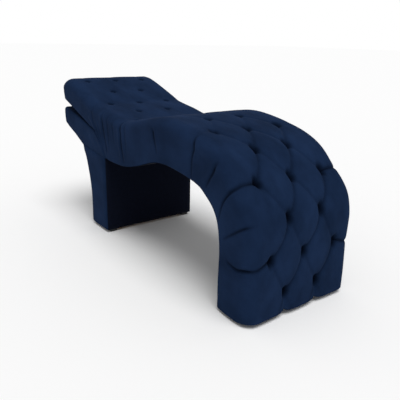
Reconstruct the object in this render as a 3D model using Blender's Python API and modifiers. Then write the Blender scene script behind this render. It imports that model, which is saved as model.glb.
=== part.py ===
"""Eyelash extension bed: a wave-shaped, diamond-tufted couch on a curved foot and a box pedestal.

The client lies on the wave with the head over the pedestal. The head pad is a separate
cushion on its own board, hinged to the base by a pair of ratchet hinges, and a finger-wide
wedge at the head end lets a hand lift it. Frame: metres, +X towards the foot, +Z up, origin
on the floor under the middle of the couch. Side outlines are drawn in X, measured from the
head end, and Z, measured from the floor.
"""

import math

import bmesh
import bpy
import numpy as np
from mathutils import Matrix, Vector

# Overall size, to the crowns of the tufts
LENGTH = 1.90
WIDTH = 0.64
HEIGHT = 0.90

# Side outline of the seat line, as shares of LENGTH and HEIGHT, from the head end to the foot
HEAD_EDGE_SHARES = ((0.0, 0.970), (0.052, 0.966), (0.130, 0.916), (0.200, 0.866), (0.233, 0.841))
BODY_EDGE_SHARES = (
    (0.262, 0.829), (0.327, 0.809), (0.415, 0.780), (0.498, 0.814), (0.581, 0.851),
    (0.643, 0.866), (0.705, 0.858), (0.772, 0.836), (0.835, 0.802), (0.881, 0.753),
    (0.920, 0.680), (0.954, 0.613), (0.975, 0.550), (0.985, 0.467), (0.9865, 0.378),
    (0.9865, 0.222), (0.9865, 0.016),
)
# Lower edge of the body under each of those points: the arch that leaves room for the knees
BODY_UNDER_SHARES = (
    (0.299, 0.533), (0.342, 0.529), (0.425, 0.533), (0.500, 0.569), (0.586, 0.630),
    (0.643, 0.648), (0.697, 0.643), (0.757, 0.628), (0.801, 0.607), (0.829, 0.578),
    (0.858, 0.537), (0.874, 0.489), (0.881, 0.444), (0.887, 0.378), (0.889, 0.311),
    (0.889, 0.200), (0.889, 0.016),
)
# Underside of the head pad, top of the slab below it, the height at which the slab's cloth
# meets the body's, and the slab's lower edge
HEAD_UNDER_SHARES = ((0.0, 0.859), (0.196, 0.7229))
SLAB_TOP_SHARES = ((0.0, 0.798), (0.228, 0.698))
SEAM_SHARE = 0.670
SLAB_UNDER_SHARES = ((0.0, 0.689), (0.036, 0.656), (0.086, 0.619), (0.148, 0.562), (0.299, 0.533))
# Concave head-side face of the pedestal, from the floor up, and its upright inner face
PEDESTAL_FLARE_SHARES = ((0.197, 0.02), (0.198, 0.167), (0.193, 0.314), (0.174, 0.454), (0.148, 0.562))
PEDESTAL_INNER_SHARE = 0.306
# Axis of the head hinge, in line with the middle of the head board
HINGE_SHARE = 0.233

# Upholstery
CROWN = 0.026
PIT = 0.024
PIT_RADIUS = 0.028
FOLD_SHARE = 0.45
COVER_DEPTH = 0.030
SIDE_PAD = 0.0125
SIDE_DRAW = 0.004
SHOULDER_DROP = 0.032
FOAM = 0.045
HEAD_WALL = 0.012
HEAD_END_ROUND = 0.016
GUSSET_DEPTH = 0.055
TUFT_ACROSS = 0.20
FIRST_ROW = 0.13
LAST_ROW_RISE = 0.105
TUFT_ROWS = 14
STEPS_PER_ROW = 4
BUTTON_RADIUS = 0.011
BUTTON_RISE = 0.007
BUTTON_SINK = 0.012
BUTTON_SIDES = 5
LINING = 0.002
# Height of the tufts over the hinge and at the ends, as shares of their height elsewhere, and
# the least part of a step that an edge leaves before the next station
GUSSET_RISE_SHARE = 0.5
END_RISE_SHARE = 0.35
EDGE_STEP_SHARE = 0.45
# Columns of the tufted face from the middle out, as shares of the button spacing, then the
# shoulder's two points, as shares of the half width and of the shoulder's drop
FACE_COLUMN_SHARES = (0.0, 0.25, 0.5, 0.75, 1.0, 1.25)
SHOULDER_SHARES = ((0.95, 0.0), (1.0, -1.0))

# Timber, and the body's rails as shares of its length along the seat
BODY_RAIL_SHARES = (0.028, 0.152, 0.278, 0.404, 0.535, 0.667, 0.808)
PANEL = 0.015
DECK = 0.005
RAIL_DEEP = 0.040
RAIL_THICK = 0.022
RAIL_OFF_DECK = 0.0013
HEAD_BOARD = 0.018
NOTCH_LENGTH = 0.085

# Slab under the head pad
SLAB_PAD = 0.006
SLAB_END_PAD = 0.0085
END_RAIL_DEEP = 0.060

# Pedestal
PEDESTAL_INSET = 0.0035
PEDESTAL_CLOTH = 0.003
PEDESTAL_SKIN = 0.005
PEDESTAL_BACK = 0.004
PEDESTAL_RISE = 0.018
PEDESTAL_RAIL_DEEP = 0.060
FOOT_LENGTH = 0.060
FOOT_WIDTH = 0.045
FOOT_INSET = 0.022
FOOT_BEVEL = 0.004
GLIDE_RADIUS = 0.013
GLIDE_CHAMFER = 0.003
GLIDE_OFF_SIDE = 0.045

# Ratchet hinges
LEAF = 0.003
LEAF_WIDTH = 0.026
MOVING_LEAF_WIDTH = 0.016
FIXED_LEAF_REACH = 0.095
MOVING_LEAF_REACH = 0.150
LEAF_GAP = 0.0005
DRUM_RADIUS = 0.023
DRUM_DEPTH = 0.0147
PIN_RADIUS = 0.004
PIN_HEAD_RADIUS = 0.007
PIN_HEAD = 0.002
SCREW_RADIUS = 0.002
SCREW_HEAD_RADIUS = 0.0042
SCREW_HEAD = 0.0024
SCREW_LENGTH = 0.012
SCREW_SPACING = 0.045
SCREW_FROM_TIP = 0.012
SCREW_UNDER_DRUM = 0.015
SHEET_OFF_DRUM = 0.0097
HOLE_CLEARANCE = 0.0003

# Bolts that hold the pedestal to the slab
BOLT_RADIUS = 0.004
BOLT_HEAD_RADIUS = 0.0075
BOLT_HEAD = 0.0055
BOLT_GRIP = 0.025
BOLT_ACROSS_SHARE = 0.625

# Gap left between pieces that touch, and how far a cut runs past what it cuts
FIT = 0.0003
OVERRUN = 0.03
# Points closer than this are one point
WELD = 0.000001

SIDES = (("near", -1), ("far", 1))
HALF = WIDTH / 2
CAVITY = HALF - SIDE_PAD
PANEL_OUT = CAVITY - FIT
PANEL_IN = PANEL_OUT - PANEL
BOARD_EDGE = PANEL_IN - 2 * FIT - 2 * LEAF - LEAF_GAP
BOLT_ACROSS = HALF * BOLT_ACROSS_SHARE
SLAB_SHEET_END = HINGE_SHARE * LENGTH - DRUM_RADIUS - SHEET_OFF_DRUM

for old in list(bpy.data.objects):
    bpy.data.objects.remove(old, do_unlink=True)

bed = bpy.data.collections.new("Eyelash extension bed")
cutters = bpy.data.collections.new("Cutters")
bpy.context.scene.collection.children.link(bed)
bpy.context.scene.collection.children.link(cutters)


# Finishes: colour, roughness, metallic
VELVET = ((0.010, 0.026, 0.075), 0.85, 0.0)
BLACK_CLOTH = ((0.006, 0.007, 0.011), 0.95, 0.0)
PINE = ((0.62, 0.42, 0.23), 0.65, 0.0)
PLYWOOD = ((0.55, 0.38, 0.22), 0.60, 0.0)
HARDBOARD = ((0.24, 0.14, 0.08), 0.70, 0.0)
FOAM_YELLOW = ((0.80, 0.72, 0.48), 0.95, 0.0)
BLACK_PLASTIC = ((0.012, 0.012, 0.014), 0.45, 0.0)
GREY_PLASTIC = ((0.50, 0.50, 0.50), 0.45, 0.0)
ZINC_STEEL = ((0.62, 0.63, 0.65), 0.35, 1.0)


def give_finish(obj, finish):
    """Gives the object a material of its own with the finish's colour, roughness and metallic."""
    colour, roughness, metallic = finish
    material = bpy.data.materials.new(obj.name)
    material.use_nodes = True
    shader = material.node_tree.nodes["Principled BSDF"]
    shader.inputs["Base Color"].default_value = (*colour, 1.0)
    shader.inputs["Roughness"].default_value = roughness
    shader.inputs["Metallic"].default_value = metallic
    material.diffuse_color = (*colour, 1.0)
    obj.data.materials.clear()
    obj.data.materials.append(material)


def place(obj, finish, moving=False):
    """Puts a finished piece in the bed; a moving one hangs from the hinge axis."""
    bed.objects.link(obj)
    give_finish(obj, finish)
    if moving:
        obj.parent = head_axis
        obj.matrix_parent_inverse = Matrix.Translation(-Vector(head_axis.location))
    return obj


def sizes(shares):
    """Shares of LENGTH and HEIGHT as distances from the head end and from the floor."""
    return np.array(shares) * (LENGTH, HEIGHT)


def smooth(points, steps=8):
    """Catmull-Rom curve through the points, each span in equal steps of its parameter."""
    p = np.asarray(points, float)
    p = np.vstack([2 * p[0] - p[1], p, 2 * p[-1] - p[-2]])
    t = np.linspace(0.0, 1.0, steps, endpoint=False)[:, None]
    spans = []
    for a, b, c, d in zip(p, p[1:], p[2:], p[3:]):
        spans.append(
            0.5 * (2 * b + (c - a) * t + (2 * a - 5 * b + 4 * c - d) * t**2
                   + (3 * b - a - 3 * c + d) * t**3)
        )
    return np.vstack([*spans, p[-2:-1]])


def lengths(line):
    """Distance along the line to each of its points."""
    return np.concatenate([[0.0], np.cumsum(np.linalg.norm(np.diff(line, axis=0), axis=1))])


def normals(line):
    """Unit normals on the left of the line's direction."""
    along = np.gradient(line, axis=0)
    along /= np.linalg.norm(along, axis=1)[:, None]
    return np.stack([-along[:, 1], along[:, 0]], axis=1)


def shifted(line, distance):
    """The line moved sideways to its left by the distance."""
    return line + normals(line) * distance


def height_on(line, x):
    """Height of a line that runs along X."""
    order = np.argsort(line[:, 0])
    return float(np.interp(x, line[order, 0], line[order, 1]))


# The head pad's straight underside, and the hinge axis on the middle of its board
head_under = sizes(HEAD_UNDER_SHARES)
slope = (head_under[1] - head_under[0]) / np.linalg.norm(head_under[1] - head_under[0])
rise_dir = np.array([-slope[1], slope[0]])
head_tilt = math.atan2(-slope[1], slope[0])
HEAD_END_X = head_under[1][0]


def head_line(depth, x0, x1):
    """Line over the pad's underside at a depth measured square to it, between two x values."""
    start = head_under[0] + rise_dir * depth
    return np.array([start + slope * (x - start[0]) / slope[0] for x in (x0, x1)])


board_low, board_high = LINING + FIT, LINING + FIT + HEAD_BOARD
pivot = head_line((board_low + board_high) / 2, 0.0, HINGE_SHARE * LENGTH)[1]
hinge_x, hinge_z = pivot
head_axis = bpy.data.objects.new("head_tilt_axis", None)
head_axis.location = (hinge_x - LENGTH / 2, 0.0, hinge_z)
bed.objects.link(head_axis)

# Seat line, sampled finely, with its length from the head end
head_edge = sizes(HEAD_EDGE_SHARES)
body_edge = sizes(BODY_EDGE_SHARES)
SPAN_STEPS = 8
seat_line = smooth(np.vstack([head_edge, body_edge]), SPAN_STEPS)
seat_arc = lengths(seat_line)
seat_normal = normals(seat_line)
body_first = SPAN_STEPS * len(head_edge)
body_under = smooth(sizes(BODY_UNDER_SHARES), SPAN_STEPS)
body_arc = seat_arc[body_first:]
ARC_TOTAL = seat_arc[-1]
ROW_PITCH = (ARC_TOTAL - FIRST_ROW - LAST_ROW_RISE) / (TUFT_ROWS - 1)


def seat(s):
    """Point and normal of the seat line at the distance s along it."""
    at = np.array([np.interp(s, seat_arc, seat_line[:, i]) for i in (0, 1)])
    out = np.array([np.interp(s, seat_arc, seat_normal[:, i]) for i in (0, 1)])
    return at, out / np.linalg.norm(out)


def under_body(s):
    """Point of the body's lower edge that faces the seat line at s."""
    return np.array([np.interp(s, body_arc, body_under[:, i]) for i in (0, 1)])


def arc_at(x):
    """Distance along the seat line to a point of the head half, given from the head end."""
    return float(np.interp(x, seat_line[: body_first + 1, 0], seat_arc[: body_first + 1]))


def button_places():
    """Buttons in staggered rows of three and two: (distance along the seat line, y)."""
    for row in range(TUFT_ROWS):
        s = FIRST_ROW + row * ROW_PITCH
        columns = (-1, 0, 1) if row % 2 == 0 else (-0.5, 0.5)
        for column in columns:
            yield s, column * TUFT_ACROSS


def tuft_height(s, y):
    """Height of the tufted face over the seat line.

    Buttons stand where u and v are both whole; folds join them where one is whole, and
    each diamond between folds is a pillow. Past the outer buttons straight pleats run to
    the sides, and past the first and last rows they run to the ends.
    """
    along = (s - FIRST_ROW) / (2 * ROW_PITCH)
    across = y / TUFT_ACROSS
    last = (TUFT_ROWS - 1) / 2
    pleat = abs(math.sin(math.pi * along))
    outside = abs(across) > 1
    if along < 0:
        ends = abs(math.sin(math.pi * across))
        pillow = math.sqrt(ends * pleat) if outside else ends
    elif along > last:
        pillow = 1.0 if outside else abs(math.cos(math.pi * across))
    elif outside:
        pillow = pleat
    else:
        pillow = math.sqrt(
            abs(math.sin(math.pi * (across + along)) * math.sin(math.pi * (across - along)))
        )
    sides = math.sqrt(max(0.0, 1 - (abs(y) / HALF) ** 6))
    near = min(math.hypot(s - bs, y - by) for bs, by in BUTTONS)
    pit = PIT * math.exp(-((near / PIT_RADIUS) ** 2))
    return CROWN * (FOLD_SHARE + (1 - FOLD_SHARE) * pillow**0.8) * sides - pit


BUTTONS = list(button_places())


def section_half(s, foot, rise=1.0):
    """Outer points of one cross-section on the +Y side, from the middle down to its lower edge.

    Each is (point in the side view, y). The face stands over the seat line by its tuft
    height; the shoulder rounds over into a side that draws in a little down to its foot.
    """
    at, out = seat(s)
    points = []
    for share in FACE_COLUMN_SHARES:
        y = share * TUFT_ACROSS
        points.append((at + out * tuft_height(s, y) * rise, y))
    for share, drop in SHOULDER_SHARES:
        points.append((at + out * drop * SHOULDER_DROP, share * HALF))
    points.append((foot, HALF - SIDE_DRAW))
    return points


def flattened(half, base, along):
    """The section's points moved onto the line through base, so that its end is a plane."""
    along = along / np.linalg.norm(along)
    return [(base + along * float((p - base) @ along), y) for p, y in half]


def loop_of(outer_half, inner_half):
    """Closed ring of one section: outer points from -Y over the top to +Y, inner points back."""
    ring = [(p[0], -y, p[1]) for p, y in reversed(outer_half)]
    ring += [(p[0], y, p[1]) for p, y in outer_half[1:]]
    ring += [(p[0], y, p[1]) for p, y in inner_half]
    ring += [(p[0], -y, p[1]) for p, y in reversed(inner_half)]
    return ring


def loft(name, rings):
    """Solid through closed rings of equal count, capped at both ends."""
    count = len(rings[0])
    points = [(x - LENGTH / 2, y, z) for ring in rings for x, y, z in ring]
    faces = [tuple(range(count)), tuple(range((len(rings) - 1) * count, len(rings) * count))[::-1]]
    for row in range(len(rings) - 1):
        for i in range(count):
            j = (i + 1) % count
            a, b = row * count, (row + 1) * count
            faces.append((a + i, b + i, b + j, a + j))
    mesh = bpy.data.meshes.new(name)
    mesh.from_pydata(points, [], faces)
    bm = bmesh.new()
    bm.from_mesh(mesh)
    bmesh.ops.triangulate(bm, faces=bm.faces)
    bmesh.ops.recalc_face_normals(bm, faces=bm.faces)
    bm.to_mesh(mesh)
    bm.free()
    mesh.shade_smooth()
    mesh.set_sharp_from_angle(angle=math.radians(60))
    return bpy.data.objects.new(name, mesh)


def outline_curve(name, outline, half_depth, holes=()):
    """Flat outline drawn in its own X and Y with round holes, given its half thickness."""
    curve = bpy.data.curves.new(name, "CURVE")
    curve.dimensions = "2D"
    curve.fill_mode = "BOTH"
    curve.extrude = half_depth
    rings = [outline] + [circle(centre, radius) for centre, radius in holes]
    for ring in rings:
        spline = curve.splines.new("POLY")
        spline.points.add(len(ring) - 1)
        for point, (x, y) in zip(spline.points, ring):
            point.co = (x, y, 0.0, 1.0)
        spline.use_cyclic_u = True
    return bpy.data.objects.new(name, curve)


def circle(centre, radius, count=12):
    """Points of a circle."""
    turns = [2 * math.pi * i / count for i in range(count)]
    return [(centre[0] + radius * math.cos(a), centre[1] + radius * math.sin(a)) for a in turns]


def side_plate(name, outline, y_low, y_high, holes=()):
    """Plate whose outline is drawn in the side view, standing between two y values."""
    outline = [(x - LENGTH / 2, z) for x, z in outline]
    holes = [((x - LENGTH / 2, z), radius) for (x, z), radius in holes]
    plate = outline_curve(name, outline, (y_high - y_low) / 2, holes)
    plate.location = (0.0, (y_low + y_high) / 2, 0.0)
    plate.rotation_euler = (math.radians(90), 0.0, 0.0)
    return plate


def as_mesh(obj):
    """The curve object as a mesh object with its loose caps welded."""
    bed.objects.link(obj)
    bpy.context.view_layer.update()
    graph = bpy.context.evaluated_depsgraph_get()
    mesh = bpy.data.meshes.new_from_object(obj.evaluated_get(graph))
    made = bpy.data.objects.new(obj.name, mesh)
    made.matrix_world = obj.matrix_world
    name = obj.name
    bpy.data.objects.remove(obj, do_unlink=True)
    made.name = name
    bm = bmesh.new()
    bm.from_mesh(mesh)
    bmesh.ops.remove_doubles(bm, verts=bm.verts, dist=WELD)
    bmesh.ops.recalc_face_normals(bm, faces=bm.faces)
    bm.to_mesh(mesh)
    bm.free()
    return made


def cut(obj, tool, operation="DIFFERENCE", solver="EXACT"):
    """Cuts the tool out of the piece, or joins it to the piece with UNION."""
    cutters.objects.link(tool)
    tool.hide_render = True
    tool.display_type = "WIRE"
    modifier = obj.modifiers.new(operation.title() + " " + tool.name, "BOOLEAN")
    modifier.operation = operation
    modifier.solver = solver
    modifier.object = tool


def block(name, centre, size, tilt=0.0):
    """Box given by its centre in the side view and y, its size, and its turn about Y."""
    mesh = bpy.data.meshes.new(name)
    bm = bmesh.new()
    bmesh.ops.create_cube(bm, size=1.0, matrix=Matrix.Diagonal((*size, 1.0)))
    bm.to_mesh(mesh)
    bm.free()
    obj = bpy.data.objects.new(name, mesh)
    x, y, z = centre
    obj.location = (x - LENGTH / 2, y, z)
    obj.rotation_euler = (0.0, tilt, 0.0)
    return obj


def turned(bm, profile, matrix, steps=12):
    """Adds a turned solid: profile is (radius, height) from the axis at the top to the axis below."""
    verts = [bm.verts.new((radius, 0.0, height)) for radius, height in profile]
    edges = [bm.edges.new(pair) for pair in zip(verts, verts[1:])]
    before = set(bm.verts) - set(verts)
    bmesh.ops.spin(
        bm, geom=verts + edges, cent=(0, 0, 0), axis=(0, 0, 1), angle=2 * math.pi,
        steps=steps, use_merge=True,
    )
    made = [v for v in bm.verts if v not in before]
    bmesh.ops.remove_doubles(bm, verts=made, dist=WELD)
    made = [v for v in bm.verts if v not in before]
    bmesh.ops.transform(bm, matrix=matrix, verts=made)


def turned_group(name, profile, matrices, steps=12):
    """Object of equal turned pieces, one at each matrix."""
    mesh = bpy.data.meshes.new(name)
    bm = bmesh.new()
    for matrix in matrices:
        turned(bm, profile, matrix, steps)
    bmesh.ops.recalc_face_normals(bm, faces=bm.faces)
    bm.to_mesh(mesh)
    bm.free()
    mesh.shade_smooth()
    mesh.set_sharp_from_angle(angle=math.radians(40))
    return bpy.data.objects.new(name, mesh)


def stud(x, y, z, direction, radius, length, clearance=0.0):
    """Cutter for a round hole from a point along a direction."""
    bm = bmesh.new()
    bmesh.ops.create_cone(
        bm, cap_ends=True, segments=12, radius1=radius + clearance, radius2=radius + clearance,
        depth=length, matrix=Matrix.Translation((0, 0, length / 2)),
    )
    mesh = bpy.data.meshes.new("Hole")
    bm.to_mesh(mesh)
    bm.free()
    obj = bpy.data.objects.new("Hole", mesh)
    turn = Vector((0, 0, 1)).rotation_difference(Vector(direction))
    obj.matrix_world = Matrix.Translation((x - LENGTH / 2, y, z)) @ turn.to_matrix().to_4x4()
    return obj


# Stations of the body: its head edge, then every quarter of a tuft row down to the foot
S_BODY = arc_at(body_edge[0][0])
STEP = ROW_PITCH / STEPS_PER_ROW
first_step = math.ceil((S_BODY - FIRST_ROW) / STEP + EDGE_STEP_SHARE)
last_step = int((ARC_TOTAL - FIRST_ROW) / STEP - EDGE_STEP_SHARE)
body_steps = [FIRST_ROW + i * STEP for i in range(first_step, last_step + 1)]
body_rows = [S_BODY, *body_steps, ARC_TOTAL]
layer_rows = body_rows[:-1:2] + [ARC_TOTAL]
layer_seat = np.array([seat(s)[0] for s in layer_rows])
layer_out = np.array([seat(s)[1] for s in layer_rows])
layer_foot = np.array([under_body(s) for s in layer_rows])
seam_base = layer_seat[0]
seam_along = layer_foot[0] - seam_base


def layer(depth):
    """Line under the body's seat line at a depth, starting on the seam with the head."""
    line = layer_seat - layer_out * depth
    seam_step = depth / -float(layer_out[0] @ seam_along)
    line[0] = seam_base + seam_along * seam_step
    return line


def band(top, bottom):
    """Outline between two lines that run the same way."""
    return [tuple(p) for p in top] + [tuple(p) for p in bottom[::-1]]


# EXACT leaves slivers where the long covers' many facets meet the inside's straight walls
COVER_SOLVER = "MANIFOLD"
# Covered buttons, pulled down on the floor of their pits and sewn to the cloth
button_profile = (
    (0.0, BUTTON_RISE), (BUTTON_RADIUS, BUTTON_RISE), (BUTTON_RADIUS, -BUTTON_SINK),
    (0.0, -BUTTON_SINK),
)


def button_matrix(s, y, rise):
    """Place of a button: its axis along the seat's normal, its rim at the cloth round it."""
    at, out = seat(s)
    floor = at + out * tuft_height(s, y) * rise
    steepest = 0.0
    for ds, dy in ((1, 0), (-1, 0), (0, 1), (0, -1), (1, 1), (-1, 1)):
        there, normal = seat(min(s + ds * STEP, ARC_TOTAL))
        beside = y + dy * TUFT_ACROSS / STEPS_PER_ROW
        step = there + normal * tuft_height(s + ds * STEP, beside) * rise - floor
        flat = math.hypot(float(np.linalg.norm(step)), beside - y)
        steepest = max(steepest, float(step @ out) / flat)
    base = floor + out * steepest * BUTTON_RADIUS
    tilt = Matrix.Rotation(math.atan2(out[0], out[1]), 4, "Y")
    return Matrix.Translation((base[0] - LENGTH / 2, y, base[1])) @ tilt


def sew_buttons(cover, low, high, rise=1.0):
    """Joins to the cover the buttons between two distances along the seat line."""
    places = [button_matrix(s, y, rise) for s, y in BUTTONS if low < s < high]
    buttons = turned_group("Buttons of " + cover.name, button_profile, places, BUTTON_SIDES)
    cut(cover, buttons, "UNION", COVER_SOLVER)


# Tufted cover of the body: one cloth with its wadding, pulled down over both sides
rings = []
for s in body_rows:
    half = section_half(s, under_body(s), END_RISE_SHARE if s == S_BODY else 1.0)
    if s == S_BODY:
        half = flattened(half, seam_base, seam_along)
    rings.append(loop_of(half, []))
body_cover = loft("body_cover", rings)
past_end = np.array([-OVERRUN, 0.0])
past_foot = np.array([0.0, -OVERRUN])
inside_top, inside_low = layer(COVER_DEPTH), shifted(layer_foot, -OVERRUN)
inside_top = np.vstack([inside_top[0] + past_end, inside_top, inside_top[-1] + past_foot])
inside_low = np.vstack([inside_low[0] + past_end, inside_low, inside_low[-1] + past_foot])
body_inside = as_mesh(side_plate("Body inside", band(inside_top, inside_low), -CAVITY, CAVITY))
cut(body_cover, body_inside, "DIFFERENCE", COVER_SOLVER)
sew_buttons(body_cover, S_BODY, ARC_TOTAL)
place(body_cover, VELVET)

# Foam on the bent plywood deck
foam_top, foam_under = layer(COVER_DEPTH + FIT), layer(COVER_DEPTH + FIT + FOAM)
deck_top = layer(COVER_DEPTH + FOAM + 2 * FIT)
deck_under = layer(COVER_DEPTH + FOAM + 2 * FIT + DECK)
place(side_plate("body_foam", band(foam_top, foam_under), -PANEL_OUT, PANEL_OUT), FOAM_YELLOW)
place(side_plate("body_deck", band(deck_top, deck_under), -PANEL_OUT, PANEL_OUT), PLYWOOD)

# Dust lining stapled under the body and under the slab
body_lining = band(shifted(layer_foot, LINING), layer_foot)
place(side_plate("body_lining", body_lining, -PANEL_OUT, PANEL_OUT), BLACK_CLOTH)
slab_under = sizes(SLAB_UNDER_SHARES)
slab_under[0, 0] = SLAB_END_PAD + FIT
slab_under[-1, 0] -= FIT
slab_lining_outline = band(shifted(slab_under, LINING), slab_under)
slab_lining = as_mesh(side_plate("slab_lining", slab_lining_outline, -PANEL_OUT, PANEL_OUT))

# Plywood sides: one profile from the head end of the slab to the foot
slab_top = sizes(SLAB_TOP_SHARES)
seam_point = seam_base + seam_along * (seam_base[1] - SEAM_SHARE * HEIGHT) / -seam_along[1]
seam_gap = np.array([2 * FIT, 0.0])
slab_top = np.vstack([slab_top, seam_point - seam_gap])
sheet_drop = SLAB_PAD + DECK + 2 * FIT
side_top = layer(COVER_DEPTH + FOAM + DECK + 3 * FIT)
side_foot = shifted(layer_foot, LINING + FIT)
side_slab = shifted(slab_under, LINING + FIT)
step_x = hinge_x + LEAF_WIDTH
side_outline = [tuple(p) for p in side_top] + [tuple(p) for p in side_foot[:0:-1]]
side_outline += [tuple(p) for p in side_slab[-2::-1]]
side_outline.append((SLAB_END_PAD + FIT, height_on(slab_top, SLAB_END_PAD) - sheet_drop))
side_outline.append((step_x, height_on(slab_top, step_x) - sheet_drop))
leaf_screw_drops = (FIXED_LEAF_REACH - SCREW_FROM_TIP, DRUM_RADIUS + SCREW_UNDER_DRUM)
leaf_screws = [(hinge_x, hinge_z - drop) for drop in leaf_screw_drops]
screw_hole = SCREW_RADIUS + HOLE_CLEARANCE
side_holes = [(centre, screw_hole) for centre in leaf_screws]
for side, sign in SIDES:
    low, high = sorted((sign * PANEL_IN, sign * PANEL_OUT))
    place(side_plate("side_panel_" + side, side_outline, low, high, side_holes), PLYWOOD)

# Slab sheet that closes the base under the head pad, and the rail across its end
sheet_x = (SLAB_END_PAD + FIT, SLAB_SHEET_END)
sheet_line = np.array([(x, height_on(slab_top, x) - SLAB_PAD - FIT) for x in sheet_x])
slab_sheet = band(sheet_line, sheet_line - (0.0, DECK))
place(side_plate("slab_sheet", slab_sheet, -PANEL_OUT, PANEL_OUT), PLYWOOD)
RAIL_SPAN = 2 * (PANEL_IN - FIT)
end_rail_x = SLAB_END_PAD + FIT + RAIL_THICK / 2
end_rail_top = height_on(slab_top, SLAB_END_PAD + FIT + RAIL_THICK) - sheet_drop - FIT
place(
    block(
        "end_rail", (end_rail_x, 0.0, end_rail_top - END_RAIL_DEEP / 2),
        (RAIL_THICK, RAIL_SPAN, END_RAIL_DEEP),
    ),
    PINE,
)

# Pine rails across the body, each square to the bent deck it carries
rail_depth = COVER_DEPTH + FOAM + DECK + 3 * FIT + RAIL_OFF_DECK + RAIL_DEEP / 2
for number, share in enumerate(BODY_RAIL_SHARES, start=1):
    at, out = seat(S_BODY + (ARC_TOTAL - S_BODY) * share)
    seat_tilt = math.atan2(out[0], out[1])
    centre = at - out * rail_depth
    place(
        block(
            f"body_rail_{number}", (centre[0], 0.0, centre[1]),
            (RAIL_THICK, RAIL_SPAN, RAIL_DEEP), seat_tilt,
        ),
        PINE,
    )

# Board across the bottom of the foot
foot_x0 = layer_foot[-1][0] + LINING + 2 * FIT
foot_x1 = deck_under[-1][0] - FIT
foot_rise = layer_foot[-1][1]
foot_board_x = (foot_x0 + foot_x1) / 2
place(
    block(
        "foot_board", (foot_board_x, 0.0, foot_rise + PANEL / 2),
        (foot_x1 - foot_x0, RAIL_SPAN, PANEL),
    ),
    PINE,
)
glide_y = HALF - GLIDE_OFF_SIDE
glide_profile = (
    (0.0, foot_rise - FIT), (GLIDE_RADIUS, foot_rise - FIT), (GLIDE_RADIUS, GLIDE_CHAMFER),
    (GLIDE_RADIUS - GLIDE_CHAMFER, 0.0), (0.0, 0.0),
)
GLIDE_SPOTS = (("inner", foot_x0 + 1.5 * GLIDE_RADIUS), ("outer", foot_x1 - 1.5 * GLIDE_RADIUS))
for where, x in GLIDE_SPOTS:
    for side, sign in SIDES:
        spot = Matrix.Translation((x - LENGTH / 2, sign * glide_y, 0.0))
        glide = turned_group(f"foot_glide_{where}_{side}", glide_profile, [spot], 16)
        place(glide, GREY_PLASTIC)

# Slab cover: cloth over the sheet, the end and both sides, open underneath
slab_outline = [tuple(p) for p in slab_top] + [tuple(layer_foot[0] - seam_gap)]
slab_outline += [tuple(p) for p in sizes(SLAB_UNDER_SHARES)[-2::-1]]
slab_cover = as_mesh(side_plate("slab_cover", slab_outline, -HALF, HALF))
sheet_end_z = height_on(slab_top, SLAB_SHEET_END) - SLAB_PAD
past_seam = layer_foot[0][0] + OVERRUN
slab_inside = [
    (SLAB_END_PAD, height_on(slab_top, SLAB_END_PAD) - SLAB_PAD),
    (SLAB_SHEET_END, sheet_end_z), (SLAB_SHEET_END, HEIGHT),
    (past_seam, HEIGHT), (past_seam, sheet_end_z / 2), (SLAB_END_PAD, sheet_end_z / 2),
]
cut(slab_cover, as_mesh(side_plate("Slab inside", slab_inside, -CAVITY, CAVITY)))
place(slab_cover, VELVET)

# Head pad: its board lies along the pad's straight underside
HEAD_IN = HEAD_WALL + FIT
S_HEAD = arc_at(HEAD_END_X)
head_last = int((S_HEAD - FIRST_ROW) / STEP - EDGE_STEP_SHARE)
head_first = -int(FIRST_ROW / STEP - EDGE_STEP_SHARE)
head_steps = [FIRST_ROW + i * STEP for i in range(head_first, head_last + 1)]
head_rows = [0.0, HEAD_END_ROUND, *head_steps, S_HEAD]
rings = []
for index, s in enumerate(head_rows):
    at = seat(s)[0]
    foot = np.array([at[0], head_under[0][1] + slope[1] / slope[0] * at[0]])
    rise = {0: -END_RISE_SHARE, len(head_rows) - 1: END_RISE_SHARE}.get(index, 1.0)
    half = section_half(s, foot, rise)
    if s == S_HEAD:
        half = flattened(half, at, foot - at)
    if index == 0:
        half = [(p, y * (1 - HEAD_END_ROUND / WIDTH)) for p, y in half]
    rings.append(loop_of(half, []))
head_cover = loft("head_cover", rings)
head_inner_rows = [s for s in head_rows if seat(s)[0][0] > HEAD_IN + HEAD_WALL]
inner_line = [seat(s)[0] - seat(s)[1] * COVER_DEPTH for s in head_inner_rows]
end_at, end_out = seat(arc_at(HEAD_WALL))
inside_end = end_at - end_out * COVER_DEPTH
last = inner_line[-1]
head_inside = [(HEAD_WALL, inside_end[1])] + [tuple(p) for p in inner_line]
head_inside += [(last[0] + OVERRUN, last[1]), (last[0] + OVERRUN, last[1] / 2)]
head_inside += [(HEAD_WALL, last[1] / 2)]
cut(head_cover, as_mesh(side_plate("Head inside", head_inside, -CAVITY, CAVITY)))
sew_buttons(head_cover, 0.0, S_HEAD)
place(head_cover, VELVET, moving=True)

foam_base = head_line(board_high + FIT, HEAD_IN, HEAD_END_X)
foam_cap = [(HEAD_IN, inside_end[1] - FIT)] + [tuple(p - (0.0, FIT)) for p in inner_line]
foam_cap.append((HEAD_END_X, last[1] - FIT))
head_foam = foam_cap + [tuple(p) for p in foam_base[::-1]]
place(side_plate("head_foam", head_foam, -PANEL_OUT, PANEL_OUT), FOAM_YELLOW, moving=True)

lining_base = head_line(0.0, HEAD_IN, HEAD_END_X)
head_lining = band(lining_base + rise_dir * LINING, lining_base)
place(side_plate("head_lining", head_lining, -PANEL_OUT, PANEL_OUT), BLACK_CLOTH, moving=True)

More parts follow.
